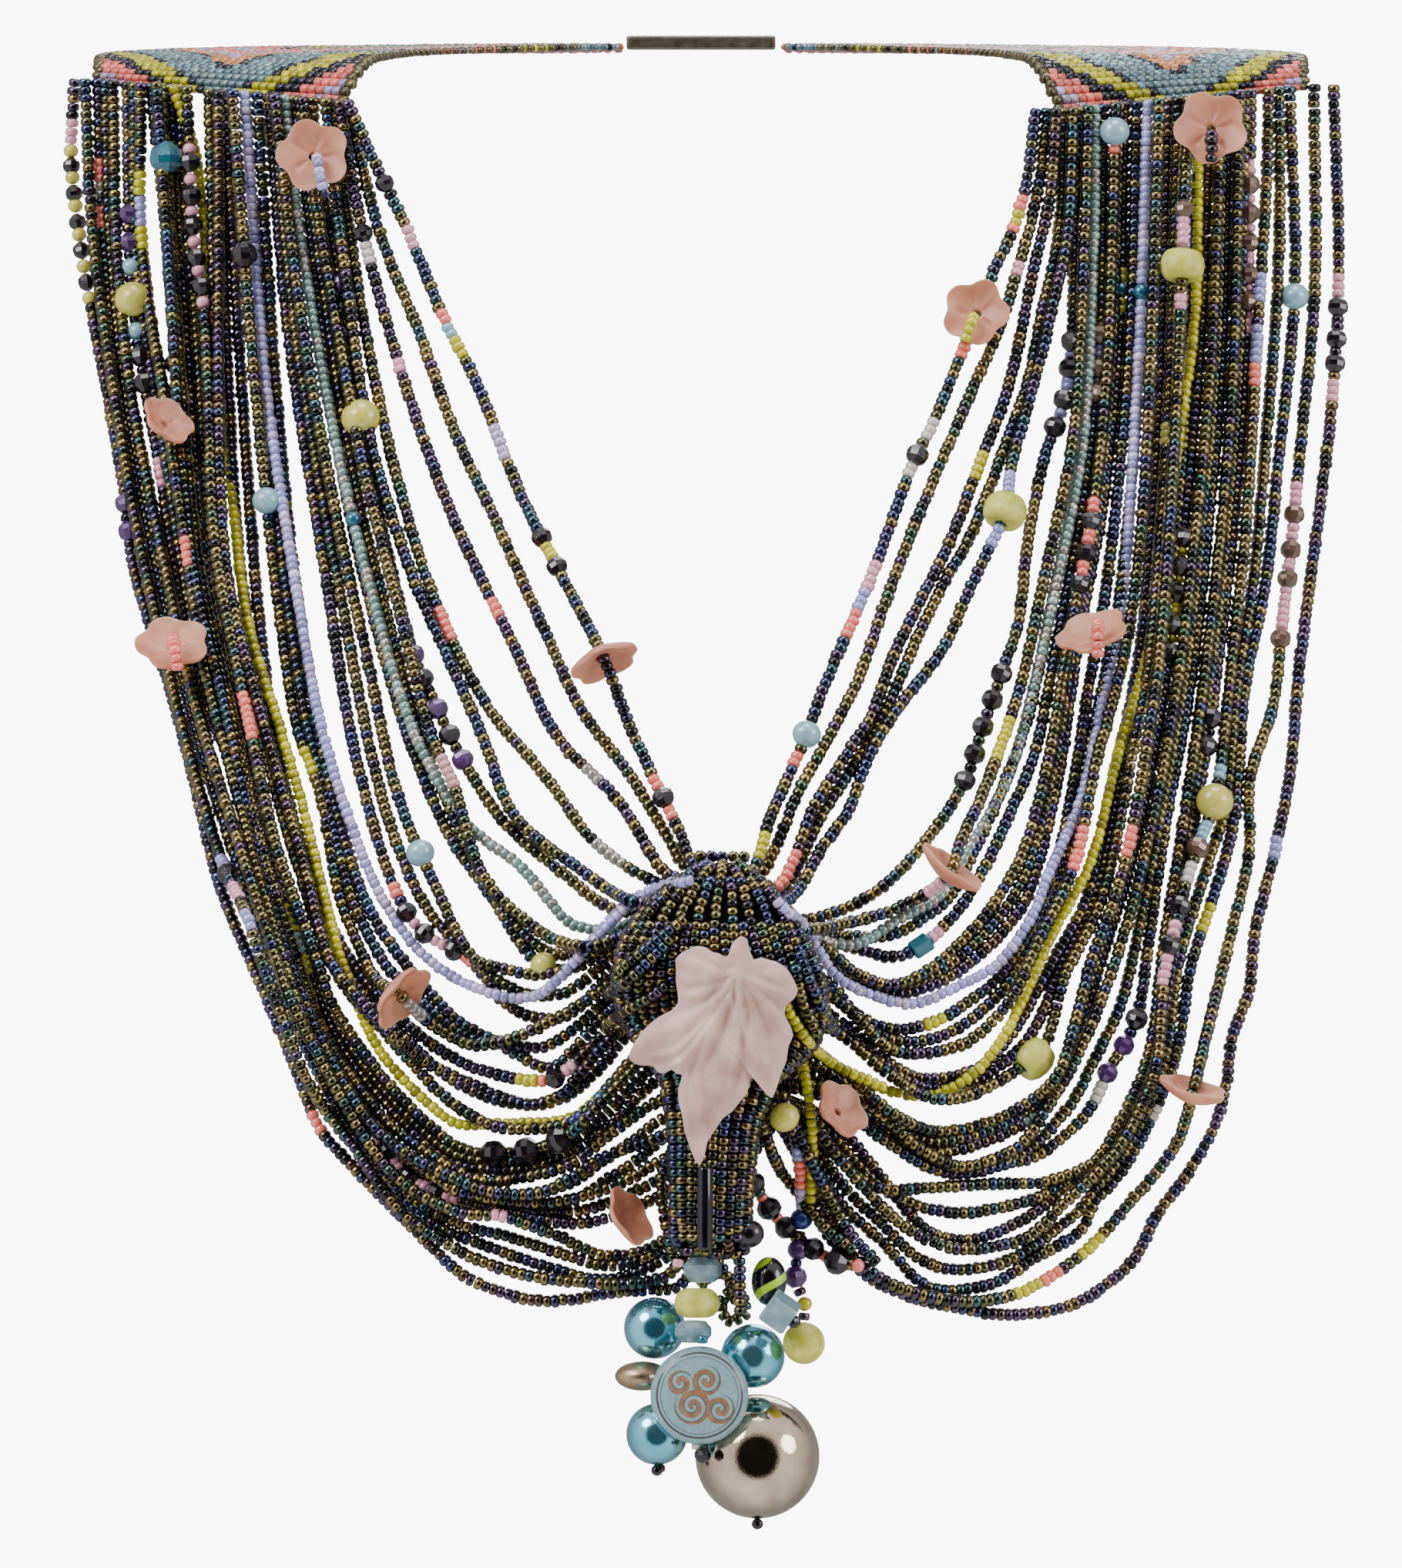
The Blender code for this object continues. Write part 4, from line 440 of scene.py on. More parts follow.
# Larger beads among the seed beads, by string and side: form, colour, width, then each bead's x, y
BIG_BEADS = {
    (1, "left"): [("facet", "dark", 22, 495, 235), ("facet", "dark", 24, 708, 697, 723, 735),
        ("facet", "dark", 25, 861, 1035)],
    (1, "right"): [("facet", "dark", 26, 1192, 590), ("disc", "pale_blue", 38, 1047, 953)],
    (3, "left"): [("facet", "dark", 22, 470, 300)],
    (6, "left"): [("facet", "purple", 24, 438, 365, 445, 435, 460, 500), ("facet", "dark", 24, 440, 400,
        453, 470), ("round", "yellow", 52, 465, 540), ("facet", "purple", 25, 537, 851, 568, 920,
        601, 986), ("facet", "dark", 25, 554, 881, 584, 955)],
    (6, "right"): [("facet", "dark", 26, 1393, 440, 1388, 477, 1383, 515, 1370, 553),
        ("facet", "dark", 25, 1300, 874, 1288, 908, 1276, 943, 1264, 979, 1252, 1013)],
    (7, "left"): [("round", "teal", 22, 463, 671)],
    (9, "left"): [("round", "yellow", 36, 706, 1250)],
    (9, "right"): [("facet", "bronze", 26, 1430, 434, 1428, 474, 1425, 510), ("block", "teal", 26,
        1195, 1227)],
    (10, "left"): [("disc", "pale_blue", 38, 545, 1105)],
    (10, "right"): [("round", "pale_blue", 40, 1450, 167), ("facet", "dark", 24, 1417, 677, 1409, 717,
        1400, 758)],
    (11, "left"): [("facet", "dark", 24, 529, 1181, 554, 1211, 588, 1236)],
    (11, "right"): [("round", "teal", 22, 1457, 375)],
    (12, "right"): [("round", "teal", 22, 1484, 375)],
    (14, "left"): [("disc", "pale_blue", 38, 344, 650), ("facet", "dark", 30, 312, 330)],
    (15, "left"): [("facet", "dark", 24, 722, 1396)],
    (16, "left"): [("round", "teal", 18, 777, 1422)],
    (18, "left"): [("round", "pink", 18, 243, 188, 245, 228, 247, 268, 249, 308, 254, 350, 260, 390),
        ("facet", "dark", 24, 244, 208, 246, 248, 248, 288, 252, 330, 257, 370), ("facet", "dark", 31,
        640, 1494, 684, 1492, 724, 1478)],
    (18, "right"): [("facet", "bronze", 22, 1544, 270, 1543, 328)],
    (19, "right"): [("facet", "dark", 26, 1539, 698, 1534, 735, 1529, 772, 1524, 811, 1518, 849)],
    (20, "left"): [("facet", "teal", 38, 210, 200)],
    (21, "left"): [("facet", "dark", 26, 225, 470, 228, 505), ("facet", "dark", 24, 336, 1120,
        350, 1170), ("facet", "purple", 24, 342, 1145)],
    (21, "right"): [("facet", "dark", 26, 1475, 1322), ("facet", "purple", 24, 1458, 1357, 1437, 1390)],
    (23, "left"): [("facet", "purple", 24, 162, 272, 163, 308), ("round", "pale_blue", 26, 165, 342,
        174, 424), ("disc", "yellow", 50, 168, 384), ("facet", "dark", 26, 179, 458, 184, 495),
        ("round", "pink", 18, 305, 1008, 321, 1060, 333, 1120, 344, 1180, 470, 1446, 492, 1480),
        ("facet", "dark", 24, 316, 1034, 327, 1090, 338, 1150, 352, 1208, 480, 1462, 502, 1496,
        532, 1525, 566, 1546)],
    (23, "right"): [("facet", "bronze", 24, 1625, 234, 1625, 273, 1624, 312, 1623, 351, 1622, 390),
        ("facet", "dark", 26, 1574, 930, 1568, 966)],
    (24, "right"): [("round", "yellow", 50, 1578, 1040), ("facet", "bronze", 26, 1557, 1100),
        ("facet", "dark", 24, 1532, 1175, 1516, 1226)],
    (25, "right"): [("disc", "pale_blue", 38, 1685, 382)],
    (26, "left"): [("facet", "dark", 24, 288, 1140)],
    (26, "right"): [("facet", "bronze", 24, 1684, 666, 1678, 712, 1671, 750, 1665, 828)],
    (27, "left"): [("round", "yellow", 20, 88, 192, 88, 226, 92, 264, 98, 301, 104, 342, 111, 382),
        ("facet", "dark", 20, 87, 208, 90, 244, 96, 283, 100, 320, 107, 362), ("facet", "purple", 24,
        159, 650, 164, 686)],
    (27, "right"): [("facet", "dark", 24, 1741, 395, 1739, 435, 1737, 470)],
}

# Larger beads on the short strands: strand, form, colour, x, y, width
DANGLE_BEADS = [
    (0, "facet", "dark", 978, 1533, 26), (0, "round", "coral", 989, 1550, 16),
    (0, "facet", "dark", 998, 1567, 28), (0, "round", "coral", 1009, 1580, 16),
    (0, "facet", "dark", 1020, 1592, 26), (0, "facet", "dark", 1055, 1618, 26),
    (0, "round", "coral", 1068, 1628, 16), (0, "facet", "dark", 1086, 1636, 30),
    (0, "round", "coral", 1110, 1641, 18), (1, "round", "yellow", 1014, 1450, 40),
    (1, "round", "blue_bright", 1040, 1580, 30), (1, "round", "purple", 1036, 1618, 29),
    (1, "facet", "purple", 1032, 1656, 26), (1, "round", "lime", 1044, 1692, 20),
]
DANGLE_RUNS = [
    (1, "lavender", 1036, 1486, 1037, 1502), (1, "coral", 1038, 1506, 1039, 1534),
    (1, "lilac", 1040, 1548, 1040, 1562),
]

# Loose beads in the bundle and the cluster: form, colour, x, y, width, in front of the face of the disc
LOOSE_BEADS = [
    ("round", "blue_bright", 952, 1542, 36, 2.0), ("round", "dark", 972, 1598, 40, 1.0),
    ("facet", "dark", 912, 1884, 22, -0.6), ("seed", "dark", 857, 1902, 14, -6.6),
    ("seed", "clear", 903, 1873, 12, -0.6), ("facet", "dark", 1030, 1712, 18, 1.0),
    ("seed", "teal", 912, 1735, 15, 1.0), ("seed", "plum_dark", 893, 1621, 16, 2.2),
    ("seed", "pink", 880, 1636, 15, 1.2), ("seed", "dark", 930, 1626, 15, 1.8),
    ("facet", "bronze", 850, 1786, 18, -4.4),
]

# Colour mixes of the strings: name, colours with their weights
MIXES = {
    "gold": (
        ("gold", 34), ("olive", 24), ("black", 14), ("green", 8), ("plum_dark", 8), ("blue", 6),
        ("teal_dark", 6),
    ),
    "blue": (
        ("blue", 26), ("black", 18), ("teal_dark", 16), ("gold", 16), ("plum_dark", 12), ("olive", 12),
    ),
    "plum": (("plum_dark", 30), ("black", 20), ("gold", 18), ("blue", 14), ("bronze_dark", 18)),
    "lavender": (("lavender", 70), ("lilac", 30)),
    "lime": (("lime", 80), ("lime_deep", 20)),
    "seafoam": (("seafoam", 70), ("silver", 30)),
    "coral": (("coral", 100),),
    "dark": (("dark", 60), ("plum_dark", 40)),
}
STRING_MIX = {7: "seafoam", 12: "lavender", 17: "lime"}
DARK_MIXES = ("gold", "blue", "gold", "plum")

# Width of the seed beads of some mixes, as a share of the others' width
SLIM = {"lavender": 0.87, "lime": 0.87, "seafoam": 0.93}

# Lift of a further string off what it crosses, and its greatest distance from the chest
OVER_CHEST = (0.3, 7.0)

# Further strings halfway between two others: the string whose piece holds it, its neighbour
BETWEEN = {8: 9, 10: 11, 13: 14, 15: 16, 18: 19, 20: 21, 22: 23, 24: 25}

# name: red, green, blue of the glass as seen, metallic sheen
COLOURS = {
    "gold": ((134, 118, 68), 1.0), "olive": ((96, 96, 56), 1.0), "black": ((28, 27, 32), 0.9),
    "green": ((60, 86, 68), 1.0), "blue": ((56, 64, 100), 1.0), "teal_dark": ((54, 84, 94), 1.0),
    "plum_dark": ((82, 64, 92), 1.0), "bronze_dark": ((100, 80, 64), 1.0),
    "lavender": ((158, 156, 212), 0.15), "lilac": ((186, 172, 208), 0.15),
    "lime": ((190, 186, 22), 0.1), "lime_deep": ((150, 146, 20), 0.1), "seafoam": ((128, 152, 148), 0.35),
    "silver": ((178, 172, 164), 0.6),
    "coral": ((240, 118, 104), 0.0), "pink": ((226, 158, 180), 0.05), "dusty": ((196, 150, 150), 0.05),
    "pale_blue": ((140, 182, 196), 0.1), "clear": ((206, 200, 192), 0.1),
    "yellow": ((196, 190, 84), 0.0),
    "teal": ((44, 104, 124), 0.3), "blue_bright": ((52, 60, 130), 0.5), "dark": ((30, 22, 30), 0.3),
    "purple": ((74, 44, 96), 0.3), "bronze": ((112, 88, 74), 0.6),
    "weave_dark": ((44, 42, 54), 0.6), "weave_blue": ((112, 142, 152), 0.3),
    "weave_orange": ((214, 138, 84), 0.05), "weave_edge": ((108, 100, 66), 0.6),
}

# Scrolls of the glazed disc: middle x, z, reach, hand
SCROLLS = [(-3.3, 2.2, 2.2, 1.0), (1.2, 2.6, 2.6, -1.0), (-1.2, -1.9, 3.2, 1.0), (3.6, -2.4, 2.6, -1.0)]

# Stage, in metres: name, place, width, power of each soft light, then where they all point
LIGHTS = [
    ("key_softbox", (-1.15, -1.05, 1.00), 1.0, 30.0), ("fill_softbox", (1.45, -0.80, 0.35), 0.9, 12.0),
    ("top_softbox", (0.1, -0.2, 1.5), 0.9, 12.0), ("back_softbox", (0.3, 1.5, 0.9), 0.9, 8.0),
]
LIGHT_AIM = (0, -0.05, -0.13)
BACKDROP_STRENGTH = 9.0
CAMERA_PLANE = -0.060
CAMERA_AWAY = 8.0

# Beads that pass in front of a lying flower: flower, colour mix, from, to
FRONT_RUNS = [
    ("flower_top_left", "lavender", (409, 198), (418, 246)),
    ("flower_side_left", "coral", (224, 826), (231, 872)),
    ("flower_side_right", "coral", (1425, 808), (1424, 856)),
    ("flower_neck_right", "lime", (1265, 408), (1252, 444)),
    ("flower_top_right", "dark", (1576, 168), (1575, 208)),
]


def drawn(px, py):
    """Millimetres from drawing units."""
    return ((px - UNIT_X0) / UNITS_PER_MM, (UNIT_Z0 - py) / UNITS_PER_MM)


def pairs(flat):
    """Points from a row of x, y, x, y."""
    return list(zip(flat[0::2], flat[1::2]))


STRINGS = [(pairs(left), pairs(right)) for left, right in STRING_ROUTES]


def chest(x, z):
    """Depth of the chest line at x, z."""
    t = np.clip(-np.asarray(z, float) / CHEST_REACH, 0.0, 1.0)
    swell = t * t * (3.0 - 2.0 * t)
    return -(CHEST_TOP + CHEST_SWELL * swell) + np.asarray(x, float) ** 2 / CHEST_ROUND


def smooth(points, step):
    """Points every step along a smooth curve through the given ones."""
    p = np.array(points, float)
    p = np.vstack([2 * p[0] - p[1], p, 2 * p[-1] - p[-2]])
    out = []
    for i in range(1, len(p) - 2):
        a, b, c, d = p[i - 1], p[i], p[i + 1], p[i + 2]
        n = max(2, int(np.linalg.norm(c - b) / step))
        t = (np.arange(n) / n)[:, None]
        k1 = (c - a) / 2 * min(1.0, 2 * np.linalg.norm(c - b) / (np.linalg.norm(c - a) + 1e-9))
        k2 = (d - b) / 2 * min(1.0, 2 * np.linalg.norm(c - b) / (np.linalg.norm(d - b) + 1e-9))
        h00 = 2 * t ** 3 - 3 * t ** 2 + 1
        h10 = t ** 3 - 2 * t ** 2 + t
        h01 = -2 * t ** 3 + 3 * t ** 2
        h11 = t ** 3 - t ** 2
        out.append(h00 * b + h10 * k1 + h01 * c + h11 * k2)
    out.append(p[-2][None])
    return np.vstack(out)


def fewer(path, tolerance, longest, keep):
    """Fewest vertices of a path within a tolerance, with some kept whatever."""
    chosen = {0, len(path) - 1} | set(keep)
    marks = sorted(chosen)
    stack = list(zip(marks[:-1], marks[1:]))
    while stack:
        a, b = stack.pop()
        if b - a < 2:
            continue
        along = path[b] - path[a]
        length = np.linalg.norm(along) + 1e-9
        off = path[a + 1:b] - path[a]
        away = np.abs(off[:, 0] * along[1] - off[:, 1] * along[0]) / length
        worst = int(away.argmax())
        if away[worst] > tolerance:
            mid = a + 1 + worst
        elif length > longest:
            mid = (a + b) // 2
        else:
            continue
        chosen.add(mid)
        stack += [(a, mid), (mid, b)]
    return sorted(chosen)


def band_edge_z(x):
    """Height of the hanging edge of the band over x."""
    first = BAND_ROWS[0]
    inner, outer = abs(first[0]), abs(first[3])
    t = min(max((abs(x) - inner) / (outer - inner), 0.0), 1.0)
    drop = RIGHT_BAND_DROP * (1.0 - 0.4 * t) if x > 0 else 0.0
    return first[2] + (first[5] - first[2]) * t - drop


def string_path(left, right):
    """The whole route of a string in x and z, from the left band to the right band."""
    a = [drawn(*p) for p in left]
    b = [drawn(*p) for p in right]
    a[0] = (a[0][0], band_edge_z(a[0][0]) - STRING_TOP_GAP)
    b[0] = (b[0][0], band_edge_z(b[0][0]) - STRING_TOP_GAP)
    middle = ((a[-1][0] + b[-1][0]) / 2, (a[-1][1] + b[-1][1]) / 2)
    return smooth(a + [middle] + b[::-1], STRING_SAMPLE)


def forward_limit(xz, obstacles):
    """Depth at which a string clears everything laid before it, at each sample."""
    limit = chest(xz[:, 0], xz[:, 1])
    if not len(obstacles):
        return limit
    low = xz.min(axis=0) - 4.0
    high = xz.max(axis=0) + 4.0
    near = obstacles[
        (obstacles[:, 0] > low[0]) & (obstacles[:, 0] < high[0])
        & (obstacles[:, 1] > low[1]) & (obstacles[:, 1] < high[1])
    ]
    if not len(near):
        return limit
    d2 = (xz[:, None, 0] - near[None, :, 0]) ** 2 + (xz[:, None, 1] - near[None, :, 1]) ** 2
    room = near[None, :, 3] ** 2 - d2
    allowed = np.where(room > 0, near[None, :, 2] - np.sqrt(np.maximum(room, 0)), 1e9)
    return np.minimum(limit, allowed.min(axis=1))


def lay(vertices, obstacles, lifts):
    """Depth of each vertex so that the straight runs between them clear the strings behind."""
    depth = forward_limit(vertices, obstacles)
    for index, highest in lifts:
        depth[index] = min(depth[index], highest)
    for i in range(len(vertices) - 1):
        n = max(2, int(np.linalg.norm(vertices[i + 1] - vertices[i]) / STRING_SAMPLE))
        t = np.linspace(0, 1, n + 1)[:, None]
        xz = vertices[i] * (1 - t) + vertices[i + 1] * t
        line = depth[i] * (1 - t[:, 0]) + depth[i + 1] * t[:, 0]
        over = (line - forward_limit(xz, obstacles)).max()
        if over > 0:
            depth[i] -= over
            depth[i + 1] -= over
    return depth


def sampled(vertices, depth, reach):
    """Samples of a laid string as obstacles: x, z, depth, clearance."""
    rows = []
    for i in range(len(vertices) - 1):
        n = max(2, int(np.linalg.norm(vertices[i + 1] - vertices[i]) / STRING_SAMPLE))
        t = (np.arange(n) / n)[:, None]
        xz = vertices[i] * (1 - t) + vertices[i + 1] * t
        y = depth[i] * (1 - t) + depth[i + 1] * t
        rows.append(np.hstack([xz, y, np.full((n, 1), reach)]))
    return np.vstack(rows)


def linear(colour):
    """Scene-linear colour from red, green and blue out of 255."""
    return tuple((c / 255.0) ** 2.2 for c in colour)


def bead_tone(name):
    """Colour and sheen of a bead."""
    tint, gleam = COLOURS[name]
    return linear(tint), gleam


def bead_tones(names):
    """Colours and sheens of a row of beads."""
    tints, gleams = zip(*(bead_tone(name) for name in names))
    return np.array(tints), np.array(gleams)


def routed(points, step):
    """A drawn route in millimetres, x and z, with a point every step."""
    return smooth([drawn(*p) for p in pairs(points)], step)


def along(points):
    """Length from the start to each point of a route."""
    return np.concatenate([[0.0], np.cumsum(np.linalg.norm(np.diff(points, axis=0), axis=1))])


def at_marks(marks, run, rows):
    """Rows of numbers at some lengths along a route."""
    return np.stack([np.interp(marks, run, column) for column in rows.T], axis=-1)


def eased(values, reach):
    """Values averaged over their neighbours, the ends kept."""
    kernel = np.hanning(2 * reach + 3)[1:-1]
    padded = np.concatenate([np.full(reach, values[0]), values, np.full(reach, values[-1])])
    return np.convolve(padded, kernel / kernel.sum(), "valid")


def in_space(path, index, depth):
    """A route in x, y and z from its drawn path and the depths at some of its points."""
    run = along(path)
    level = eased(np.interp(run, run[index], depth), 5)
    return np.stack([path[:, 0], level, path[:, 1]], axis=1)


def lay_strings():
    """Routes of all strings in space, directions of the thread in threaded pieces, and all samples."""
    obstacles = np.zeros((0, 4))
    tangents, routes = {}, {}
    reach = 2 * STRING_RADIUS + STRING_CLEARANCE
    for number in LAYING_ORDER:
        left, right = STRINGS[number - 1]
        path = string_path(left, right)
        beads = [row for row in THREADED if row[1] == number]
        keep = []
        for row in beads:
            at = np.array(drawn(row[2], row[3]))
            keep.append(int(np.linalg.norm(path - at, axis=1).argmin()))
        index = fewer(path, STRING_TOLERANCE, STRING_LONGEST, keep)
        vertices = path[index]
        lifts = []
        for row, k in zip(beads, keep):
            x, z = path[k]
            need = row[5] + STRING_RADIUS + STRING_CLEARANCE
            if len(obstacles):
                close = (obstacles[:, 0] - x) ** 2 + (obstacles[:, 1] - z) ** 2 < need ** 2
                if close.any():
                    lifts.append((index.index(k), obstacles[close, 2].min() - need))
        depth = lay(vertices, obstacles, lifts)
        obstacles = np.vstack([obstacles, sampled(vertices, depth, reach)])
        for row, k in zip(beads, keep):
            i = index.index(k)
            point = Vector((vertices[i][0], depth[i], vertices[i][1]))
            after = Vector((vertices[i + 1][0], depth[i + 1], vertices[i + 1][1]))
            before = Vector((vertices[i - 1][0], depth[i - 1], vertices[i - 1][1]))
            tangent = ((after - point).normalized() + (point - before).normalized()).normalized()
            tangents[row[0]] = tangent
            spread = np.linspace(-row[5], row[5], 13)
            gx, gz = np.meshgrid(spread, spread)
            inside = gx ** 2 + gz ** 2 < row[5] ** 2
            x = point.x + gx[inside]
            z = point.z + gz[inside]
            y = np.full(x.shape, point.y - row[5])
            block = np.stack([x, z, y, np.full(x.shape, PIECE_CLEARANCE)], axis=1)
            obstacles = np.vstack([obstacles, block])
        middle = (np.array(drawn(*left[-1])) + np.array(drawn(*right[-1]))) / 2
        half = int(np.linalg.norm(path - middle, axis=1).argmin())
        routes[number] = (in_space(path, index, depth), half)
    return routes, tangents, obstacles


ROUTES, TANGENTS, OBSTACLES = lay_strings()


def hump_loops(inset):
    """Rows of the gathered hump, set in: middle x and y, height, half width, half depth."""
    backs = []
    for py, left, right, thick in HUMP_ROWS:
        x0, z = drawn(left, py)
        x1, _ = drawn(right, py)
        near = OBSTACLES[
            (OBSTACLES[:, 0] > x0 - 1.6) & (OBSTACLES[:, 0] < x1 + 1.6)
            & (np.abs(OBSTACLES[:, 1] - z) < 7.5)
        ]
        backs.append(near[:, 2].min() if len(near) else 0.0)
    level = [min(backs[max(0, k - 1):k + 2]) for k in range(len(backs))]
    fronts, rows = [], []
    for (py, left, right, thick), back in zip(HUMP_ROWS, level):
        x0, z = drawn(left, py)
        x1, _ = drawn(right, py)
        back = back - STRING_RADIUS - STRING_CLEARANCE
        if left > TAIL_LEFT:
            back = fronts[TAIL_ROW] + thick
        fronts.append(back - thick)
        half = max((x1 - x0) / 2 - inset, 0.5)
        deep = max(thick / 2 - inset, 0.4)
        rows.append(((x0 + x1) / 2, back - thick / 2, z, half, deep))
    return rows


def hump_point(row, angle):
    """A point on a row of the gathered hump."""
    cx, cy, z, half, deep = row
    c, s = math.cos(angle), math.sin(angle)
    return (
        cx + half * math.copysign(abs(c) ** HUMP_ROUND_X, c),
        cy + deep * math.copysign(abs(s) ** HUMP_ROUND_Y, s),
        z,
    )


def body_mesh(name, vertices, faces, smooth_faces=True):
    """A mesh object from points in millimetres."""
    mesh = bpy.data.meshes.new(name)
    mesh.from_pydata([tuple(c * MM for c in v) for v in vertices], [], faces)
    bm = bmesh.new()
    bm.from_mesh(mesh)
    bmesh.ops.recalc_face_normals(bm, faces=bm.faces)
    bm.to_mesh(mesh)
    bm.free()
    mesh.polygons.foreach_set("use_smooth", [smooth_faces] * len(mesh.polygons))
    made = bpy.data.objects.new(name, mesh)
    bpy.context.scene.collection.objects.link(made)
    return made


def turned_form(profile, sides):
    """Points and faces of a body of revolution about z, its ends closed by flat faces."""
    points, faces = [], []
    for r, z in profile:
        for j in range(sides):
            a = 2 * math.pi * (j + 0.5) / sides
            points.append((r * math.cos(a), r * math.sin(a), z))
    for k in range(len(profile) - 1):
        for j in range(sides):
            a, b = k * sides, (k + 1) * sides
            faces.append((a + j, b + j, b + (j + 1) % sides, a + (j + 1) % sides))
    faces.append(tuple(range(sides)))
    faces.append(tuple(range((len(profile) - 1) * sides, len(profile) * sides))[::-1])
    return np.array(points), faces


def ring_faces(rings, sides, base=0, closed=False):
    """Faces between rings of points, the last joined to the first where closed."""
    faces = []
    for k in range(rings if closed else rings - 1):
        a, b = base + k * sides, base + (k + 1) % rings * sides
        faces += [(a + j, a + (j + 1) % sides, b + (j + 1) % sides, b + j) for j in range(sides)]
    return faces


def mirrored(upper, middle=()):
    """A profile from its upper half and the points at its middle."""
    return upper + list(middle) + [(r, -z) for r, z in reversed(upper)]


def round_profile(rings):
    """A ball's profile from top to bottom, one unit across, its poles left a little flat."""
    angles = [math.pi * (0.06 + 0.88 * k / rings) for k in range(rings + 1)]
    return [(math.sin(a), math.cos(a) / 2) for a in angles]


SEED_FORM = turned_form(mirrored([(0.74, 0.5), (1.0, 0.27)]), 7)
TUBE_FORM = turned_form(mirrored([(0.80, 0.5), (1.0, 0.40)]), 6)
ROUND_FORM = turned_form(round_profile(10), 18)
FACET_FORM = turned_form(mirrored([(0.45, 0.5), (0.92, 0.24)], [(1.0, 0.0)]), 9)
BLOCK_FORM = turned_form(mirrored([(0.85, 0.5), (1.0, 0.4)]), 4)

# form: shape, length as a share of the width, smooth
FORMS = {
    "seed": (SEED_FORM, 0.68, True), "round": (ROUND_FORM, 0.94, True),
    "facet": (FACET_FORM, 0.9, False), "disc": (ROUND_FORM, 0.92, True),
    "block": (BLOCK_FORM, 1.1, False),
}


class BeadTray:
    """Beads set out one by one, then made into a single mesh with a colour and a sheen for each."""

    def __init__(self, seed):
        self.rng = np.random.default_rng(seed)
        self.lots = []

    def add(self, form, centres, axes, widths, lengths, tints, gleams, is_smooth=True, wobble=0.07):
        """Adds beads of one form, their axes along the thread."""
        centres = np.atleast_2d(np.asarray(centres, float))
        if not len(centres):
            return
        axes = np.atleast_2d(np.asarray(axes, float))
        axes = axes + self.rng.normal(0, wobble, axes.shape)
        axes /= np.linalg.norm(axes, axis=1)[:, None]
        ahead = np.where(np.abs(axes[:, 1:2]) < 0.9, [[0.0, 1.0, 0.0]], [[1.0, 0.0, 0.0]])
        side = np.cross(ahead, axes)
        side /= np.linalg.norm(side, axis=1)[:, None]
        other = np.cross(axes, side)
        spin = self.rng.uniform(0, 2 * math.pi, len(centres))[:, None]
        first = side * np.cos(spin) + other * np.sin(spin)
        second = np.cross(axes, first)
        points, faces = form
        radii = np.broadcast_to(np.asarray(widths, float) / 2, (len(centres),))[:, None, None]
        spans = np.broadcast_to(np.asarray(lengths, float), (len(centres),))[:, None, None]
        x, y, z = (points[None, :, k:k + 1] for k in range(3))
        across = radii * (x * first[:, None, :] + y * second[:, None, :])
        placed = centres[:, None, :] + across + spans * z * axes[:, None, :]
        tints = np.broadcast_to(np.asarray(tints, float), (len(centres), 3))
        gleams = np.broadcast_to(np.asarray(gleams, float), (len(centres),))
        self.lots.append((placed, faces, tints, gleams, is_smooth))

    def made(self, name, material):
        """The mesh object of all beads."""
        corners, starts, smooths, points, tints, gleams = [], [], [], [], [], []
        base, loop_base = 0, 0
        for placed, faces, tint, gleam, is_smooth in self.lots:
            count, size = placed.shape[:2]
            flat = np.concatenate([np.array(f, np.int64) for f in faces])
            sizes = np.array([len(f) for f in faces], np.int64)
            offset = base + np.arange(count)[:, None] * size
            corners.append((flat[None, :] + offset).ravel())
            first = np.concatenate([[0], np.cumsum(sizes)[:-1]])
            starts.append((loop_base + first[None, :] + np.arange(count)[:, None] * len(flat)).ravel())
            smooths.append(np.full(count * len(faces), is_smooth))
            points.append(placed.reshape(-1, 3))
            tints.append(np.repeat(np.hstack([tint, np.ones((count, 1))]), size, axis=0))
            gleams.append(np.repeat(gleam, size))
            base += count * size
            loop_base += count * len(flat)
        mesh = bpy.data.meshes.new(name)
        points = np.vstack(points) * MM
        corners = np.concatenate(corners).astype(np.int32)
        starts = np.concatenate(starts).astype(np.int32)
        mesh.vertices.add(len(points))
        mesh.vertices.foreach_set("co", points.astype(np.float32).ravel())
        mesh.loops.add(len(corners))
        mesh.loops.foreach_set("vertex_index", corners)
        mesh.polygons.add(len(starts))
        mesh.polygons.foreach_set("loop_start", starts)
        mesh.polygons.foreach_set("use_smooth", np.concatenate(smooths))
        mesh.update(calc_edges=True)
        mesh.validate()
        tint_layer = mesh.attributes.new("tint", "FLOAT_COLOR", "POINT")
        tint_layer.data.foreach_set("color", np.vstack(tints).astype(np.float32).ravel())
        gleam_layer = mesh.attributes.new("gleam", "FLOAT", "POINT")
        gleam_layer.data.foreach_set("value", np.concatenate(gleams).astype(np.float32))
        mesh.materials.append(material)
        made = bpy.data.objects.new(name, mesh)
        bpy.context.scene.collection.objects.link(made)
        return made


def mixed(tray, mix, count):
    """Colours and sheens of a run of beads, drawn from a mix."""
    names = [name for name, _ in MIXES[mix]]
    weights = np.array([weight for _, weight in MIXES[mix]], float)
    picks = tray.rng.choice(len(names), count, p=weights / weights.sum())
    tints, gleams = bead_tones(names[p] for p in picks)
    shade = tray.rng.lognormal(0.0, SHADE_SPREAD, (count, 1))
    return np.clip(tints * shade, 0.0, 1.0), gleams


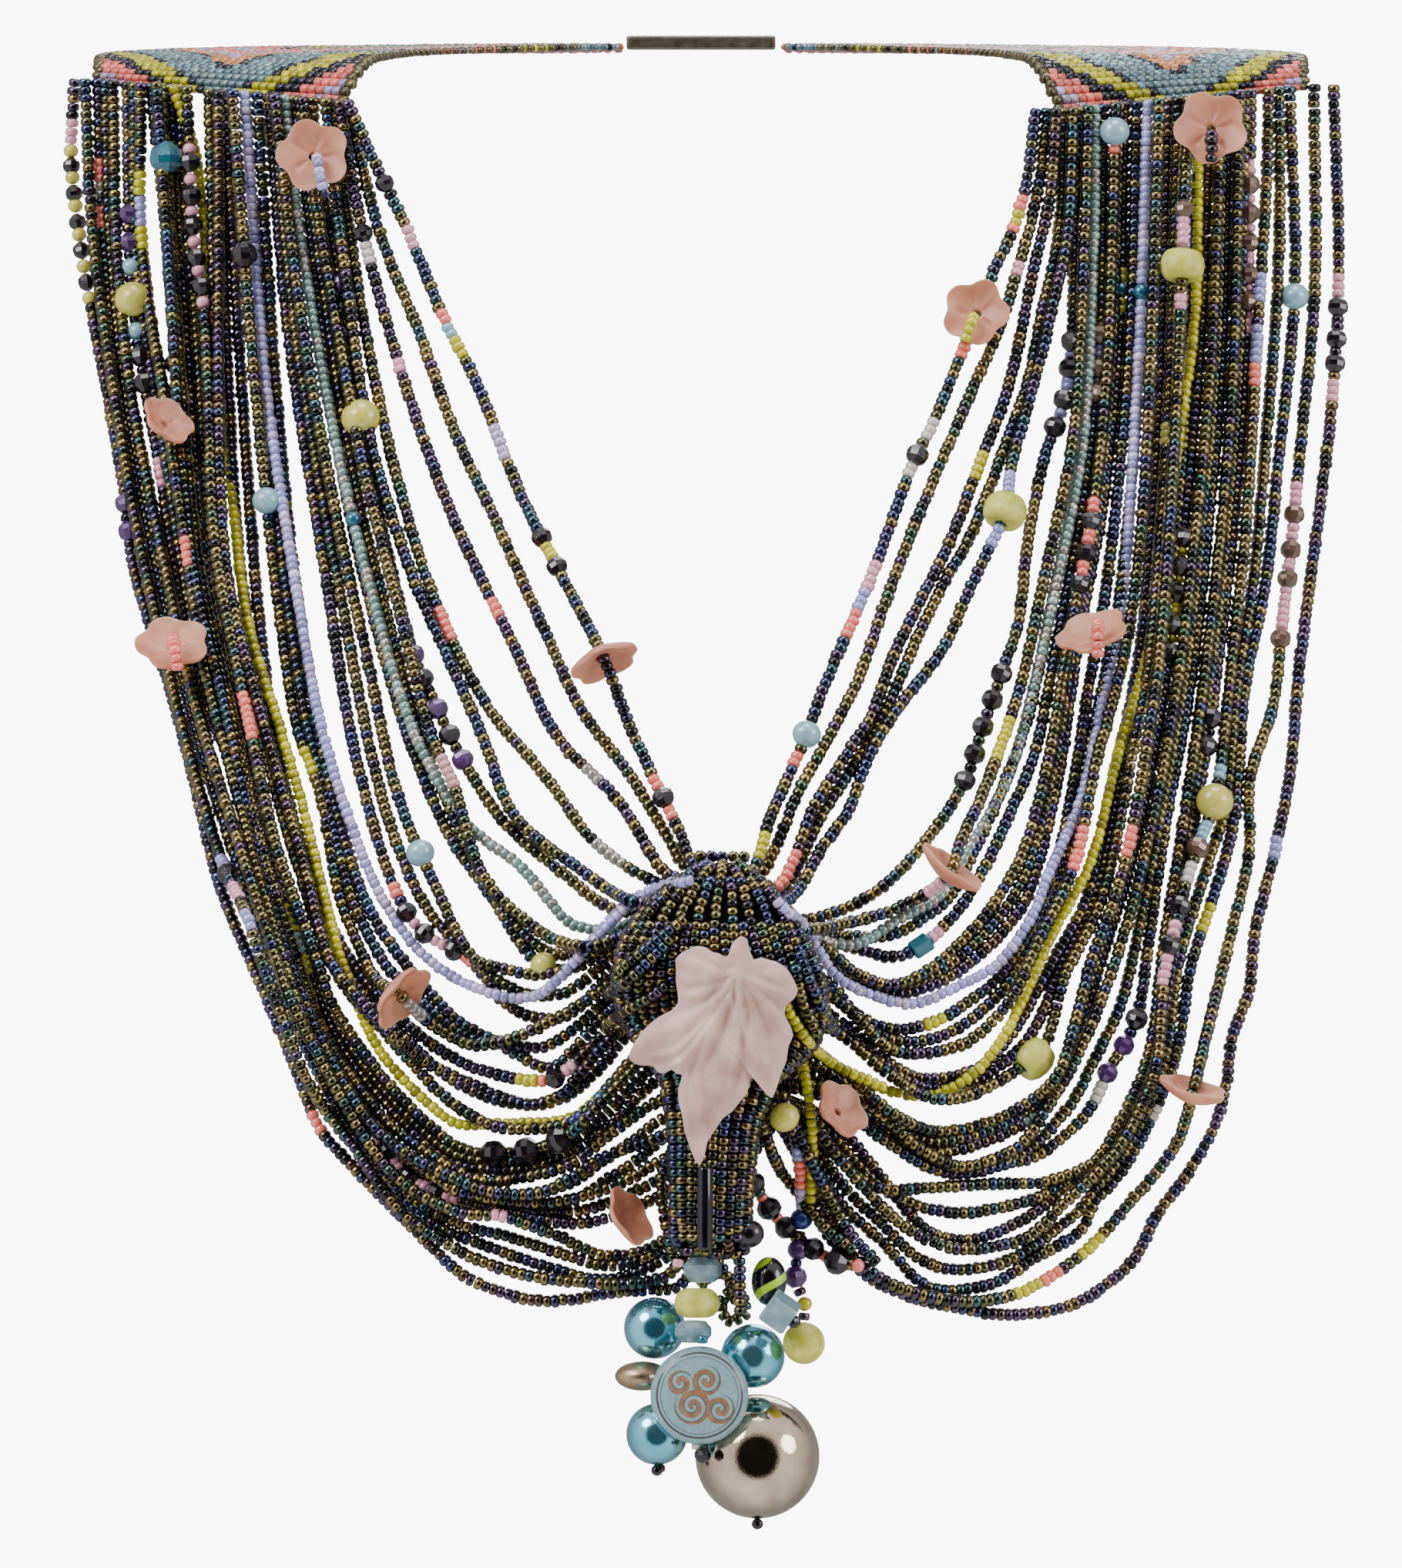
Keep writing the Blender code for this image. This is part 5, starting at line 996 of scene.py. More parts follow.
def thread_beads(tray, route, mix, seed_width, pitch, big=(), runs=()):
    """Threads a route: larger beads at their places, seed beads and coloured runs between them."""
    run = along(route)
    taken = []
    for form_name, colour, at, width in big:
        form, share, is_smooth = FORMS[form_name]
        width = width * (FACET_WIDER if form_name == "facet" else 1.0)
        length = width * share
        taken.append((at - length / 2, at + length / 2))
        centre = at_marks(at, run, route)
        centre[1] -= max(0.0, width - seed_width) * 0.4
        axis = at_marks(at + 0.8, run, route) - at_marks(at - 0.8, run, route)
        tray.add(form, [centre], [axis], width, length, *bead_tone(colour), is_smooth, 0.05)
    taken.sort()
    marks = [0.2] + [v for pair in taken for v in pair] + [run[-1] - 0.2]
    stations = []
    for a, b in zip(marks[0::2], marks[1::2]):
        count = int(round((b - a) / pitch))
        if count > 0:
            stations.append(a + (np.arange(count) + 0.5) * (b - a) / count)
    if not stations:
        return
    at = np.concatenate(stations)
    centres = at_marks(at, run, route)
    axes = at_marks(at + 0.5, run, route) - at_marks(at - 0.5, run, route)
    tints, gleams = mixed(tray, mix, len(at))
    for colour, low, high in runs:
        chosen = (at > low - 0.6) & (at < high + 0.6)
        tints[chosen], gleams[chosen] = bead_tone(colour)
    widths = seed_width * SLIM.get(mix, 1.0) * tray.rng.normal(1.0, WIDTH_SPREAD, len(at))
    lengths = pitch * 0.97
    centres = centres + tray.rng.normal(0, PLACE_SPREAD, centres.shape)
    tray.add(SEED_FORM, centres, axes, widths, lengths, tints, gleams)


def station(route, x, y, low=0, high=None):
    """Length along a route at the point nearest to a drawn place, between two of its samples."""
    part = route[low:high]
    px, pz = drawn(x, y)
    near = int(((part[:, 0] - px) ** 2 + (part[:, 2] - pz) ** 2).argmin())
    return along(route)[low + near]


def operator(operation, swapped=False):
    """A Python operator that adds a maths node."""
    def apply(self, other):
        return self.finish.maths(operation, *((other, self) if swapped else (self, other)))
    return apply


class Wire:
    """A number on a node's socket that stands in a Python expression."""

    def __init__(self, finish, socket):
        self.finish = finish
        self.socket = socket

    __add__ = operator("ADD")
    __radd__ = operator("ADD", True)
    __sub__ = operator("SUBTRACT")
    __rsub__ = operator("SUBTRACT", True)
    __mul__ = operator("MULTIPLY")
    __truediv__ = operator("DIVIDE")
    __pow__ = operator("POWER")
    __gt__ = operator("GREATER_THAN")
    __lt__ = operator("LESS_THAN")


class Finish:
    """A material, or the world, and the nodes that make its look."""

    def __init__(self, name, holder=None, shader="Principled BSDF"):
        self.material = holder or bpy.data.materials.new(name)
        self.material.use_nodes = True
        self.tree = self.material.node_tree
        self.shader = self.tree.nodes[shader]

    def node(self, kind, settings=None, values=None, output=0):
        """Adds a node: its settings first, then the values or links of its sockets."""
        made = self.tree.nodes.new(kind)
        for key, value in (settings or {}).items():
            setattr(made, key, value)
        for key, value in (values or {}).items():
            self.feed(made.inputs[key], value)
        return Wire(self, made.outputs[output])

    def feed(self, socket, value):
        """Links a wire to a socket, or sets the socket's own value."""
        if isinstance(value, Wire):
            self.tree.links.new(value.socket, socket)
        elif isinstance(value, tuple) and len(value) == 3 and socket.type == "RGBA":
            socket.default_value = (*value, 1.0)
        else:
            socket.default_value = value

    def maths(self, operation, *values):
        """A maths node on one value or two."""
        return self.node("ShaderNodeMath", {"operation": operation}, dict(enumerate(values)))

    def axis(self, vector, number):
        """One of the three numbers of a vector."""
        return self.node("ShaderNodeSeparateXYZ", None, {0: vector}, output=number)

    def ranged(self, value, low, high, kind="LINEAR"):
        """A value brought to 0 at low and 1 at high."""
        values = {"Value": value, "From Min": low, "From Max": high}
        return self.node("ShaderNodeMapRange", {"interpolation_type": kind}, values)

    def place(self):
        """The point on the surface, in millimetres."""
        where = self.node("ShaderNodeTexCoord", output=3)
        return self.node("ShaderNodeVectorMath", {"operation": "SCALE"}, {0: where, "Scale": 1000.0})

    def grain(self, place, scale, detail=2.0, rough=0.5):
        """Noise from 0 to 1, scale being its features to a millimetre."""
        values = {"Vector": place, "Scale": scale, "Detail": detail, "Roughness": rough}
        return self.node("ShaderNodeTexNoise", None, values)

    def blend(self, share, first, second):
        """A colour between two others."""
        settings = {"data_type": "RGBA", "blend_type": "MIX"}
        return self.node("ShaderNodeMix", settings, {"Factor": share, 6: first, 7: second}, output=2)

    def dimmed(self, colour, share):
        """A colour times a number."""
        return self.node("ShaderNodeVectorMath", {"operation": "SCALE"}, {0: colour, "Scale": share})

    def bumped(self, height, strength, distance=0.001):
        """Normal of a surface with fine relief."""
        values = {"Height": height, "Strength": strength, "Distance": distance}
        return self.node("ShaderNodeBump", None, values)

    def done(self, **values):
        """Feeds the shader and returns the material."""
        for key, value in values.items():
            self.feed(self.shader.inputs[key.replace("_", " ")], value)
        return self.material


def kept(name, make, *values):
    """A material by its name, made when it is first asked for."""
    return bpy.data.materials.get(name) or make(name, *values)


def bead_glass(name, roughness, coat):
    """Coated glass whose colour and sheen come with each bead."""
    f = Finish(name)
    tint = f.node("ShaderNodeAttribute", {"attribute_name": "tint"})
    gleam = f.node("ShaderNodeAttribute", {"attribute_name": "gleam"}, output=2)
    place = f.place()
    cloud = f.grain(place, 1.1)
    fine = f.grain(place, 3.2, 3.0)
    base = f.dimmed(tint, 0.70 + cloud * 0.6)
    return f.done(
        Base_Color=base, Metallic=gleam, Roughness=roughness + fine * 0.12,
        Coat_Weight=coat, Coat_Roughness=0.06,
        Normal=f.bumped(fine, 0.12),
    )


def frosted_glass(name, pale, deep, roughness, patch, inner=0.25):
    """Matt glass, its colour drifting between a pale and a deep tone."""
    f = Finish(name)
    place = f.place()
    drift = f.grain(place, patch, 3.0, 0.55)
    fine = f.grain(place, 5.0, 2.0)
    base = f.blend(f.ranged(drift, 0.32, 0.68), deep, pale)
    made = f.done(
        Base_Color=base, Roughness=roughness + fine * 0.14, Normal=f.bumped(fine, 0.10),
        Subsurface_Weight=inner, Subsurface_Scale=0.004, Coat_Weight=0.12, Coat_Roughness=0.3,
    )
    f.shader.inputs["Subsurface Radius"].default_value = (1.0, 0.6, 0.45)
    return made


def pearl_coat(name, colour, deep, metal, roughness):
    """Lacquered pearl, nearly a mirror, with a faint cloud in its colour."""
    f = Finish(name)
    place = f.place()
    cloud = f.grain(place, 0.22, 2.0)
    base = f.blend(f.ranged(cloud, 0.3, 0.7), deep, colour)
    fine = f.grain(place, 2.5, 2.0)
    return f.done(
        Base_Color=base, Metallic=metal, Roughness=roughness + fine * 0.05,
        Coat_Weight=0.6, Coat_Roughness=0.04, Normal=f.bumped(fine, 0.03),
    )


def worn_metal(name, colour, deep, roughness):
    """Plated metal with dull patches and fine scratches."""
    f = Finish(name)
    place = f.place()
    patch = f.grain(place, 0.6, 4.0)
    fine = f.grain(place, 4.0, 3.0)
    base = f.blend(patch, deep, colour)
    return f.done(
        Base_Color=base, Metallic=0.9, Roughness=roughness + patch * 0.2, Normal=f.bumped(fine, 0.12),
    )


def settle(piece, slot, *nodes, material=None):
    """A piece takes its material, rides with the part and stands for its solids; its slot is not used."""
    if material:
        piece.data.materials.append(material)
    if nodes:
        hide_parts(*nodes)
    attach(piece, "root")
    return piece


def box_mm(node):
    """Lowest and highest corner of a solid in millimetres."""
    low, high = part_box(node)
    return np.array(low) * 1000.0, np.array(high) * 1000.0


def turned(axis, degrees):
    """A turn about one axis."""
    return Matrix.Rotation(math.radians(degrees), 3, axis)


def turned_body(name, centre, turn, profile, sides, smooth_faces=True):
    """A body of revolution, placed and turned."""
    points, faces = turned_form(profile, sides)
    placed = [Vector(centre) + turn @ Vector(p) for p in points]
    return body_mesh(name, placed, faces, smooth_faces)


def ball(radius, rings, share=1.0):
    """Profile of a ball or a flattened one."""
    angles = [math.pi * (0.02 + 0.96 * k / rings) for k in range(rings + 1)]
    return [(radius * math.sin(a), radius * share * math.cos(a)) for a in angles]


def petal_form(radius, hole):
    """Points and faces of a dished flower with five petals and a hole."""
    sides = 70
    outs = [0.0, 0.1, 0.22, 0.36, 0.5, 0.64, 0.78, 0.9, 0.97, 1.0]
    walk = [(out, 0.0) for out in outs] + [(1.0, 1.0)] + [(out, 1.0) for out in outs[::-1][1:]]
    points = []
    for out, under in walk:
        for j in range(sides):
            a = 2 * math.pi * j / sides
            cleft = abs(math.cos(FLOWER_PETALS * a / 2))
            scallop = 1.0 - 0.17 * cleft ** 3 * out
            r = hole + (radius * scallop - hole) * out
            thick = FLOWER_THICK * (1.0 - 0.45 * out) * (0.55 if out > 0.98 else 1.0)
            rise = out ** 1.75 * FLOWER_DISH - FLOWER_DISH / 2 + FLOWER_THICK / 2
            fold = 0.42 * cleft ** 8 * math.sin(math.pi * min(out * 1.1, 1.0))
            points.append((r * math.cos(a), r * math.sin(a), rise - under * thick - fold * (1 - under)))
    return points, ring_faces(len(walk), sides, closed=True)


def placed_on(node, points, turn):
    """Points turned, then moved so that their box has the same middle as the node's."""
    turned_points = np.array([turn @ Vector(p) for p in points])
    low, high = box_mm(node)
    middle = (turned_points.min(axis=0) + turned_points.max(axis=0)) / 2
    return turned_points + ((low + high) / 2 - middle)


def weave_rows(side, step):
    """Rows across a band every step along its middle: inner end, outer end, length along."""
    rows = []
    for k, (xi, yi, zi, xo, yo, zo) in enumerate(BAND_ROWS):
        fall = RIGHT_BAND_DROP * max(0.0, 1.0 - k / 3.0) if side > 0 else 0.0
        rows.append((-side * xi, yi, zi - fall, -side * xo, yo, zo - fall * 0.6))
    dense = smooth(rows, 0.8)
    middle = (dense[:, :3] + dense[:, 3:]) / 2
    run = along(middle)
    marks = np.arange(step / 2, run[-1], step)
    return at_marks(marks, run, dense), marks


def weave_colour(u, reach):
    """Names of the colours of nested chevrons: u from -1 to 1 across, reach along the band in mm."""
    height = np.interp(reach, [0.0, 4.5, 10.0, 18.0, 30.0, 160.0], [0.0, 0.45, 0.8, 1.0, 1.45, 6.6])
    level = height - 1.7 * np.abs(u)
    level = (level + 1.75) % 2.75 - 1.75
    names = np.full(u.shape, "weave_dark", dtype=object)
    bounds = [
        (-1.75, -1.38, "coral"), (-1.38, -1.18, "lilac"), (-1.18, -0.80, "coral"),
        (-0.80, -0.54, "weave_dark"), (-0.54, -0.20, "lime"), (-0.20, -0.12, "weave_dark"),
        (-0.12, 0.10, "weave_blue"),
        (0.10, 0.24, "seafoam"), (0.24, 0.50, "weave_blue"), (0.50, 0.60, "weave_dark"),
        (0.60, 0.85, "weave_orange"), (0.85, 1.0, "lilac"),
    ]
    for low, high, name in bounds:
        names[(level >= low) & (level < high)] = name
    names[np.abs(u) > 0.965] = "weave_edge"
    return names


def length_value(name, description, default, least, digits):
    """A length for the panel."""
    return FloatProperty(
        name=name, description=description, default=default, min=least, unit="LENGTH", precision=digits,
    )


def colour_value(name, description, colour):
    """A colour for the panel, from red, green and blue out of 255."""
    return FloatVectorProperty(
        name=name, description=description, default=linear(colour),
        subtype="COLOR", size=3, min=0.0, max=1.0,
    )


class HarnessSizes(bpy.types.PropertyGroup):
    """Sizes of the beads and the weave"""

    bead_width: length_value(
        "Seed bead width", "Width of a seed bead across its thread", 0.00236, 0.001, 4,
    )
    bead_pitch: length_value(
        "Seed bead pitch", "Distance from one seed bead to the next on a thread", 0.00142, 0.0008, 5,
    )
    weave_bead: length_value(
        "Weave bead length", "Length of a cylinder bead along its row", 0.00165, 0.001, 5,
    )
    weave_row: length_value(
        "Weave row height", "Distance from one row of the weave to the next", 0.00152, 0.001, 5,
    )
    hump_columns: IntProperty(
        name="Gather columns", description="Columns of beads round the gathered middle at its widest",
        default=40, min=16, max=64,
    )


class HarnessColours(bpy.types.PropertyGroup):
    """Colours of the glass, the pearls and the metal"""

    petal: colour_value("Petal glass", "Pale tone of the frosted flowers", (204, 142, 114))
    leaf: colour_value("Leaf glass", "Pale tone of the frosted leaf", (216, 180, 172))
    turquoise: colour_value("Turquoise pearl", "Lacquer of the small pearls", (140, 212, 232))
    silver: colour_value("Silver pearl", "Lacquer of the big pearl", (226, 208, 184))


def settings():
    """The panel's sizes and colours."""
    scene = bpy.context.scene
    return scene.harness_sizes, scene.harness_colours


def seed_sizes():
    """Width of a seed bead and distance to the next, in millimetres."""
    sizes, _ = settings()
    return sizes.bead_width / MM, sizes.bead_pitch / MM


def bead_material():
    """The glass that all loose and threaded beads share."""
    return kept("coated_seed_glass", bead_glass, 0.13, 0.9)


class HARNESS_OT_strings(bpy.types.Operator):
    """Threads every string with seed beads and its larger accent beads"""

    bl_idname = "harness.strings"
    bl_label = "Strings"

    def execute(self, context):
        width, pitch = seed_sizes()
        material = bead_material()
        for number in range(1, len(STRINGS) + 1):
            route, half = ROUTES[number]
            tray = BeadTray(100 + number)
            whole = reaching(route, width)
            big, runs = [], []
            for side, span, inward in (("left", (0, half), 1), ("right", (half, None), -1)):
                lots = BIG_BEADS.get((number, side), ())
                found = [
                    (form, colour, station(route, x, y, *span) + width, across / UNITS_PER_MM)
                    for form, colour, across, *places in lots for x, y in pairs(places)
                ]
                # Lots of several beads take turns along the string, from the band inwards
                if len(found) > len(lots):
                    found.sort(key=lambda bead: bead[2] * inward)
                big += found
                for colour, *places in RUNS.get((number, side), ()):
                    ends = sorted(station(route, x, y, *span) + width for x, y in pairs(places))
                    runs.append((colour, *ends))
            mix = STRING_MIX.get(number, DARK_MIXES[number % len(DARK_MIXES)])
            thread_beads(tray, whole, mix, width, pitch, big, runs)
            more = [over_all(line, *OVER_CHEST) for host, line in FILL_STRINGS if host == number]
            if number in BETWEEN:
                more.append(between(number, BETWEEN[number]))
            for extra in more:
                thread_beads(tray, reaching(extra, width), mix, width, pitch)
            piece = tray.made(f"beads_{number:02d}", material)
            settle(piece, STRING_SLOTS.get(number, "seed_dark"), f"string_{number:02d}")
        return {"FINISHED"}


def reaching(route, further):
    """A route made longer at both ends, up to the edge of the band."""
    first = route[0] - route[1]
    last = route[-1] - route[-2]
    start = route[0] + first / np.linalg.norm(first) * further
    end = route[-1] + last / np.linalg.norm(last) * further
    return np.vstack([start, route, end])


def between(first, second):
    """A route on the chest, halfway between two strings."""
    paths = []
    for number in (first, second):
        path = string_path(*STRINGS[number - 1])
        run = along(path)
        marks = np.linspace(0, run[-1], 500)
        paths.append(at_marks(marks, run, path))
    path = (paths[0] + paths[1]) / 2
    index = fewer(path, STRING_TOLERANCE, STRING_LONGEST, [])
    depth = lay(path[index], np.zeros((0, 4)), [])
    return in_space(path, index, depth)


def over_all(drawn_route, lift=0.3, furthest=None):
    """A route in space laid over everything drawn behind it, so far off the chest at most."""
    path = routed(drawn_route, STRING_SAMPLE)
    index = fewer(path, STRING_TOLERANCE, STRAND_LONGEST, [])
    vertices = path[index]
    depth = lay(vertices, OBSTACLES, []) + lift
    if furthest is not None:
        depth = np.maximum(depth, lay(vertices, np.zeros((0, 4)), []) - furthest)
    return in_space(path, index, depth)


def over_gather(drawn_route):
    """A route laid over the strings and over the front of the gathered middle."""
    route = over_all(drawn_route, *OVER_CHEST)
    rows = np.array(hump_loops(0.0))
    rows = rows[np.argsort(rows[:, 2])]
    middle, depth, _, half, deep = at_marks(route[:, 2], rows[:, 2], rows).T
    share = np.clip(np.abs(route[:, 0] - middle) / half, 0.0, 1.0) ** (1 / HUMP_ROUND_X)
    front = depth - deep * np.sqrt(1 - share ** 2) ** HUMP_ROUND_Y
    over = np.where(share < 1.0, front - 1.2, 1e3)
    route[:, 1] = eased(np.minimum(route[:, 1], over), 4)
    return route


class HARNESS_OT_gather(bpy.types.Operator):
    """Covers the gathered middle with columns of beads over a dark core"""

    bl_idname = "harness.gather"
    bl_label = "Gathered middle"

    def execute(self, context):
        width, pitch = seed_sizes()
        rows = hump_loops(COLUMNS_INSET)
        tray = BeadTray(41)
        columns = settings()[0].hump_columns
        mixes = ("gold", "gold", "blue", "gold", "plum", "gold", "blue")
        turns = np.linspace(-math.pi / 2, 1.5 * math.pi, 361)
        loops = [np.array([hump_point(row, a) for a in turns]) for row in rows]
        rounds = [along(loop) for loop in loops]
        fine = np.linspace(0, len(rows) - 1, 400)
        for j in range(-columns // 3, columns // 3 + 1):
            rank = max(k for k in range(5) if j % 2 ** k == 0)
            turn = (j % columns) / columns
            points = np.array([at_marks(turn * run[-1], run, loop) for loop, run in zip(loops, rounds)])
            spread = np.array([run[-1] for run in rounds]) / columns * 2 ** rank
            dense = at_marks(fine, range(len(rows)), points)
            for k in (0, 1):
                dense[:, k] = eased(dense[:, k], 10)
            room = np.interp(fine, range(len(rows)), spread) > COLUMN_ROOM
            edges = np.flatnonzero(np.diff(np.concatenate([[0], room.astype(int), [0]])))
            for a, b in zip(edges[0::2], edges[1::2]):
                if b - a > 6:
                    thread_beads(tray, dense[a:b], mixes[j % len(mixes)], width, pitch)
        x, y, z = hump_point(rows[0], 1.5 * math.pi)
        for k in range(5):
            side = x + (k - 2) * 1.9
            cap = [(side, y + 0.6 * abs(k - 2), z + 0.7), (side, y + 2.2, z + 1.3)]
            thread_beads(tray, np.array(cap), "gold", width, pitch)
        beads = tray.made("gather_beads", bead_material())
        settle(beads, "seed_dark", "gather_hump")
        inner = hump_loops(CORE_INSET)
        sides = 16
        angles = [2 * math.pi * (j + 0.5) / sides for j in range(sides)]
        vertices = [hump_point(row, a) for row in inner for a in angles]
        last = (len(inner) - 1) * sides
        faces = ring_faces(len(inner), sides) + [tuple(range(sides)), tuple(range(last, last + sides))]
        core = body_mesh("gather_core", vertices, faces)
        settle(core, "seed_dark", material=thread_material())
        return {"FINISHED"}


def thread_material():
    """Dark waxed thread, its plies showing."""
    f = Finish("dark_waxed_thread")
    place = f.place()
    fine = f.grain(place, 3.0, 3.0)
    waves = {"Vector": place, "Scale": 1.4, "Distortion": 1.5}
    ply = f.node("ShaderNodeTexWave", {"bands_direction": "DIAGONAL"}, waves)
    base = f.blend(fine, linear((20, 18, 22)), linear((52, 46, 48)))
    return f.done(Base_Color=base, Roughness=0.55 + fine * 0.2, Normal=f.bumped(ply, 0.4))


class HARNESS_OT_dangles(bpy.types.Operator):
    """Threads the short strands, the loose beads and the runs in front of the flowers"""

    bl_idname = "harness.dangles"
    bl_label = "Short strands"

    def execute(self, context):
        width, pitch = seed_sizes()
        tray = BeadTray(77)
        for number, (mix, drawn_route) in enumerate(DANGLES):
            route = over_all(drawn_route)
            big = [
                (form, colour, station(route, x, y), across / UNITS_PER_MM)
                for strand, form, colour, x, y, across in DANGLE_BEADS if strand == number
            ]
            runs = [
                (colour, *sorted((station(route, x0, y0), station(route, x1, y1))))
                for strand, colour, x0, y0, x1, y1 in DANGLE_RUNS if strand == number
            ]
            thread_beads(tray, route, mix, width, pitch, big, runs)
        for mix, drawn_route in OVER_GATHER:
            thread_beads(tray, over_gather(drawn_route), mix, width, pitch)
        strands = tray.made("short_strands", bead_material())
        settle(strands, "seed_dark")
        tray = BeadTray(78)
        face = box_mm("drop_disc_scroll")[0][1]
        for form_name, colour, x, y, across, ahead in LOOSE_BEADS:
            form, share, is_smooth = FORMS[form_name]
            px, pz = drawn(x, y)
            wide = across / UNITS_PER_MM
            where = [(px, face + 2.4 - ahead, pz)]
            tray.add(form, where, [(0, 0, 1)], wide, wide * share, *bead_tone(colour), is_smooth, 0.1)
        loose = tray.made("loose_beads", bead_material())
        settle(loose, "seed_dark")
        tray = BeadTray(79)
        for node, mix, (x0, y0), (x1, y1) in FRONT_RUNS:
            low, high = box_mm(node)
            start, end = drawn(x0, y0), drawn(x1, y1)
            inner = low[1] * 0.62 + high[1] * 0.38
            route = np.array([
                (start[0], inner, start[1]),
                ((start[0] * 2 + end[0]) / 3, low[1] - 0.3, (start[1] * 2 + end[1]) / 3),
                (end[0], low[1] - 0.9, end[1]),
            ])
            thread_beads(tray, smooth(route, 0.5), mix, width, pitch)
        front = tray.made("front_runs", bead_material())
        settle(front, "seed_dark")
        return {"FINISHED"}


class HARNESS_OT_bands(bpy.types.Operator):
    """Weaves the two shoulder bands from rows of cylinder beads"""

    bl_idname = "harness.bands"
    bl_label = "Shoulder bands"

    def execute(self, context):
        sizes, _ = settings()
        material = kept("woven_bead_glass", bead_glass, 0.2, 0.4)
        for name, side in (("band_left", -1), ("band_right", 1)):
            even, marks = weave_rows(side, sizes.weave_row / MM)
            tray = BeadTray(300 + side)
            for k in range(len(even)):
                inner, outer = even[k, :3], even[k, 3:]
                before = even[max(k - 1, 0)]
                after = even[min(k + 1, len(even) - 1)]
                across = outer - inner
                width = np.linalg.norm(across)
                ahead = (after[:3] + after[3:]) - (before[:3] + before[3:])
                normal = np.cross(across, ahead)
                normal /= np.linalg.norm(normal)
                if normal[2] < 0:
                    normal = -normal
                count = max(4, int(round(width / (sizes.weave_bead / MM))))
                share = (np.arange(count) + (0.5 if k % 2 else 0.2)) / (count - 0.3)
                share = share[share < 1.0]
                centres = inner + share[:, None] * across - normal * BAND_THICK / 2
                steps = (after - before) / 2 if 0 < k < len(even) - 1 else after - before
                gaps = np.linalg.norm(steps[:3] + share[:, None] * (steps[3:] - steps[:3]), axis=1)
                tints, gleams = bead_tones(weave_colour(share * 2 - 1, np.full(len(share), marks[k])))
                shade = tray.rng.lognormal(0.0, WEAVE_SPREAD, (len(share), 1))
                tints = np.clip(tints * WEAVE_DIM * shade, 0.0, 1.0)
                wide = np.clip(gaps * 1.04, 1.35, 2.0)
                axes = np.tile(across / width, (len(share), 1))
                length = width / count * 0.95
                tray.add(TUBE_FORM, centres, axes, wide, length, tints, gleams, True, 0.03)
            piece = tray.made(f"{name}_weave", material)
            settle(piece, "band_weave", name)
        return {"FINISHED"}


class HARNESS_OT_flowers(bpy.types.Operator):
    """Makes the frosted flowers, threaded and lying"""

    bl_idname = "harness.flowers"
    bl_label = "Flowers"

    def execute(self, context):
        _, colours = settings()
        petal = tuple(colours.petal)
        glass = frosted_glass("frosted_petal_glass", petal, linear((176, 112, 88)), 0.38, 0.16, 0.35)
        turns = {}
        for name, *_, kind, radius, _ in THREADED:
            if kind == "flower":
                lean = (TANGENTS[name] + Vector((0, -THREAD_LEAN, 0))).normalized()
                turns[name] = (Vector((0, 0, 1)).rotation_difference(lean).to_matrix(), radius, 1.25)
        for name, tilt, roll, radius in LYING_FLOWERS:
            turn = (
                Matrix.Rotation(math.radians(-roll), 3, "Y")
                @ Matrix.Rotation(math.pi / 2 - math.radians(tilt), 3, "X")
            )
            turns[name] = (turn, radius, 0.8)
        for name, (turn, radius, hole) in turns.items():
            points, faces = petal_form(radius, hole)
            piece = body_mesh(f"{name}_petals", placed_on(name, points, turn), faces)
            settle(piece, "petal_glass", name, material=glass)
        return {"FINISHED"}


class HARNESS_OT_rondelles(bpy.types.Operator):
    """Makes the frosted rondelles on the strings"""

    bl_idname = "harness.rondelles"
    bl_label = "Rondelles"

    def execute(self, context):
        glass = yellow_glass()
        for name, *_, kind, radius, height in THREADED:
            if kind != "rondelle":
                continue
            h = height / 2
            upper = [
                (1.5, h * 0.86), (radius * 0.5, h), (radius * 0.78, h * 0.86), (radius * 0.94, h * 0.5),
            ]
            points, faces = turned_form(mirrored(upper, [(radius, 0.0)]), 36)
            turn = Vector((0, 0, 1)).rotation_difference(TANGENTS[name]).to_matrix()
            piece = body_mesh(f"{name}_glass", placed_on(name, points, turn), faces)
            settle(piece, "yellow_green_glass", name, material=glass)
        return {"FINISHED"}


def yellow_glass():
    """The frosted yellow-green glass of the rondelles and of two drops."""
    pale, deep = linear((214, 212, 110)), linear((168, 172, 48))
    return kept("frosted_yellow_glass", frosted_glass, pale, deep, 0.36, 0.4)


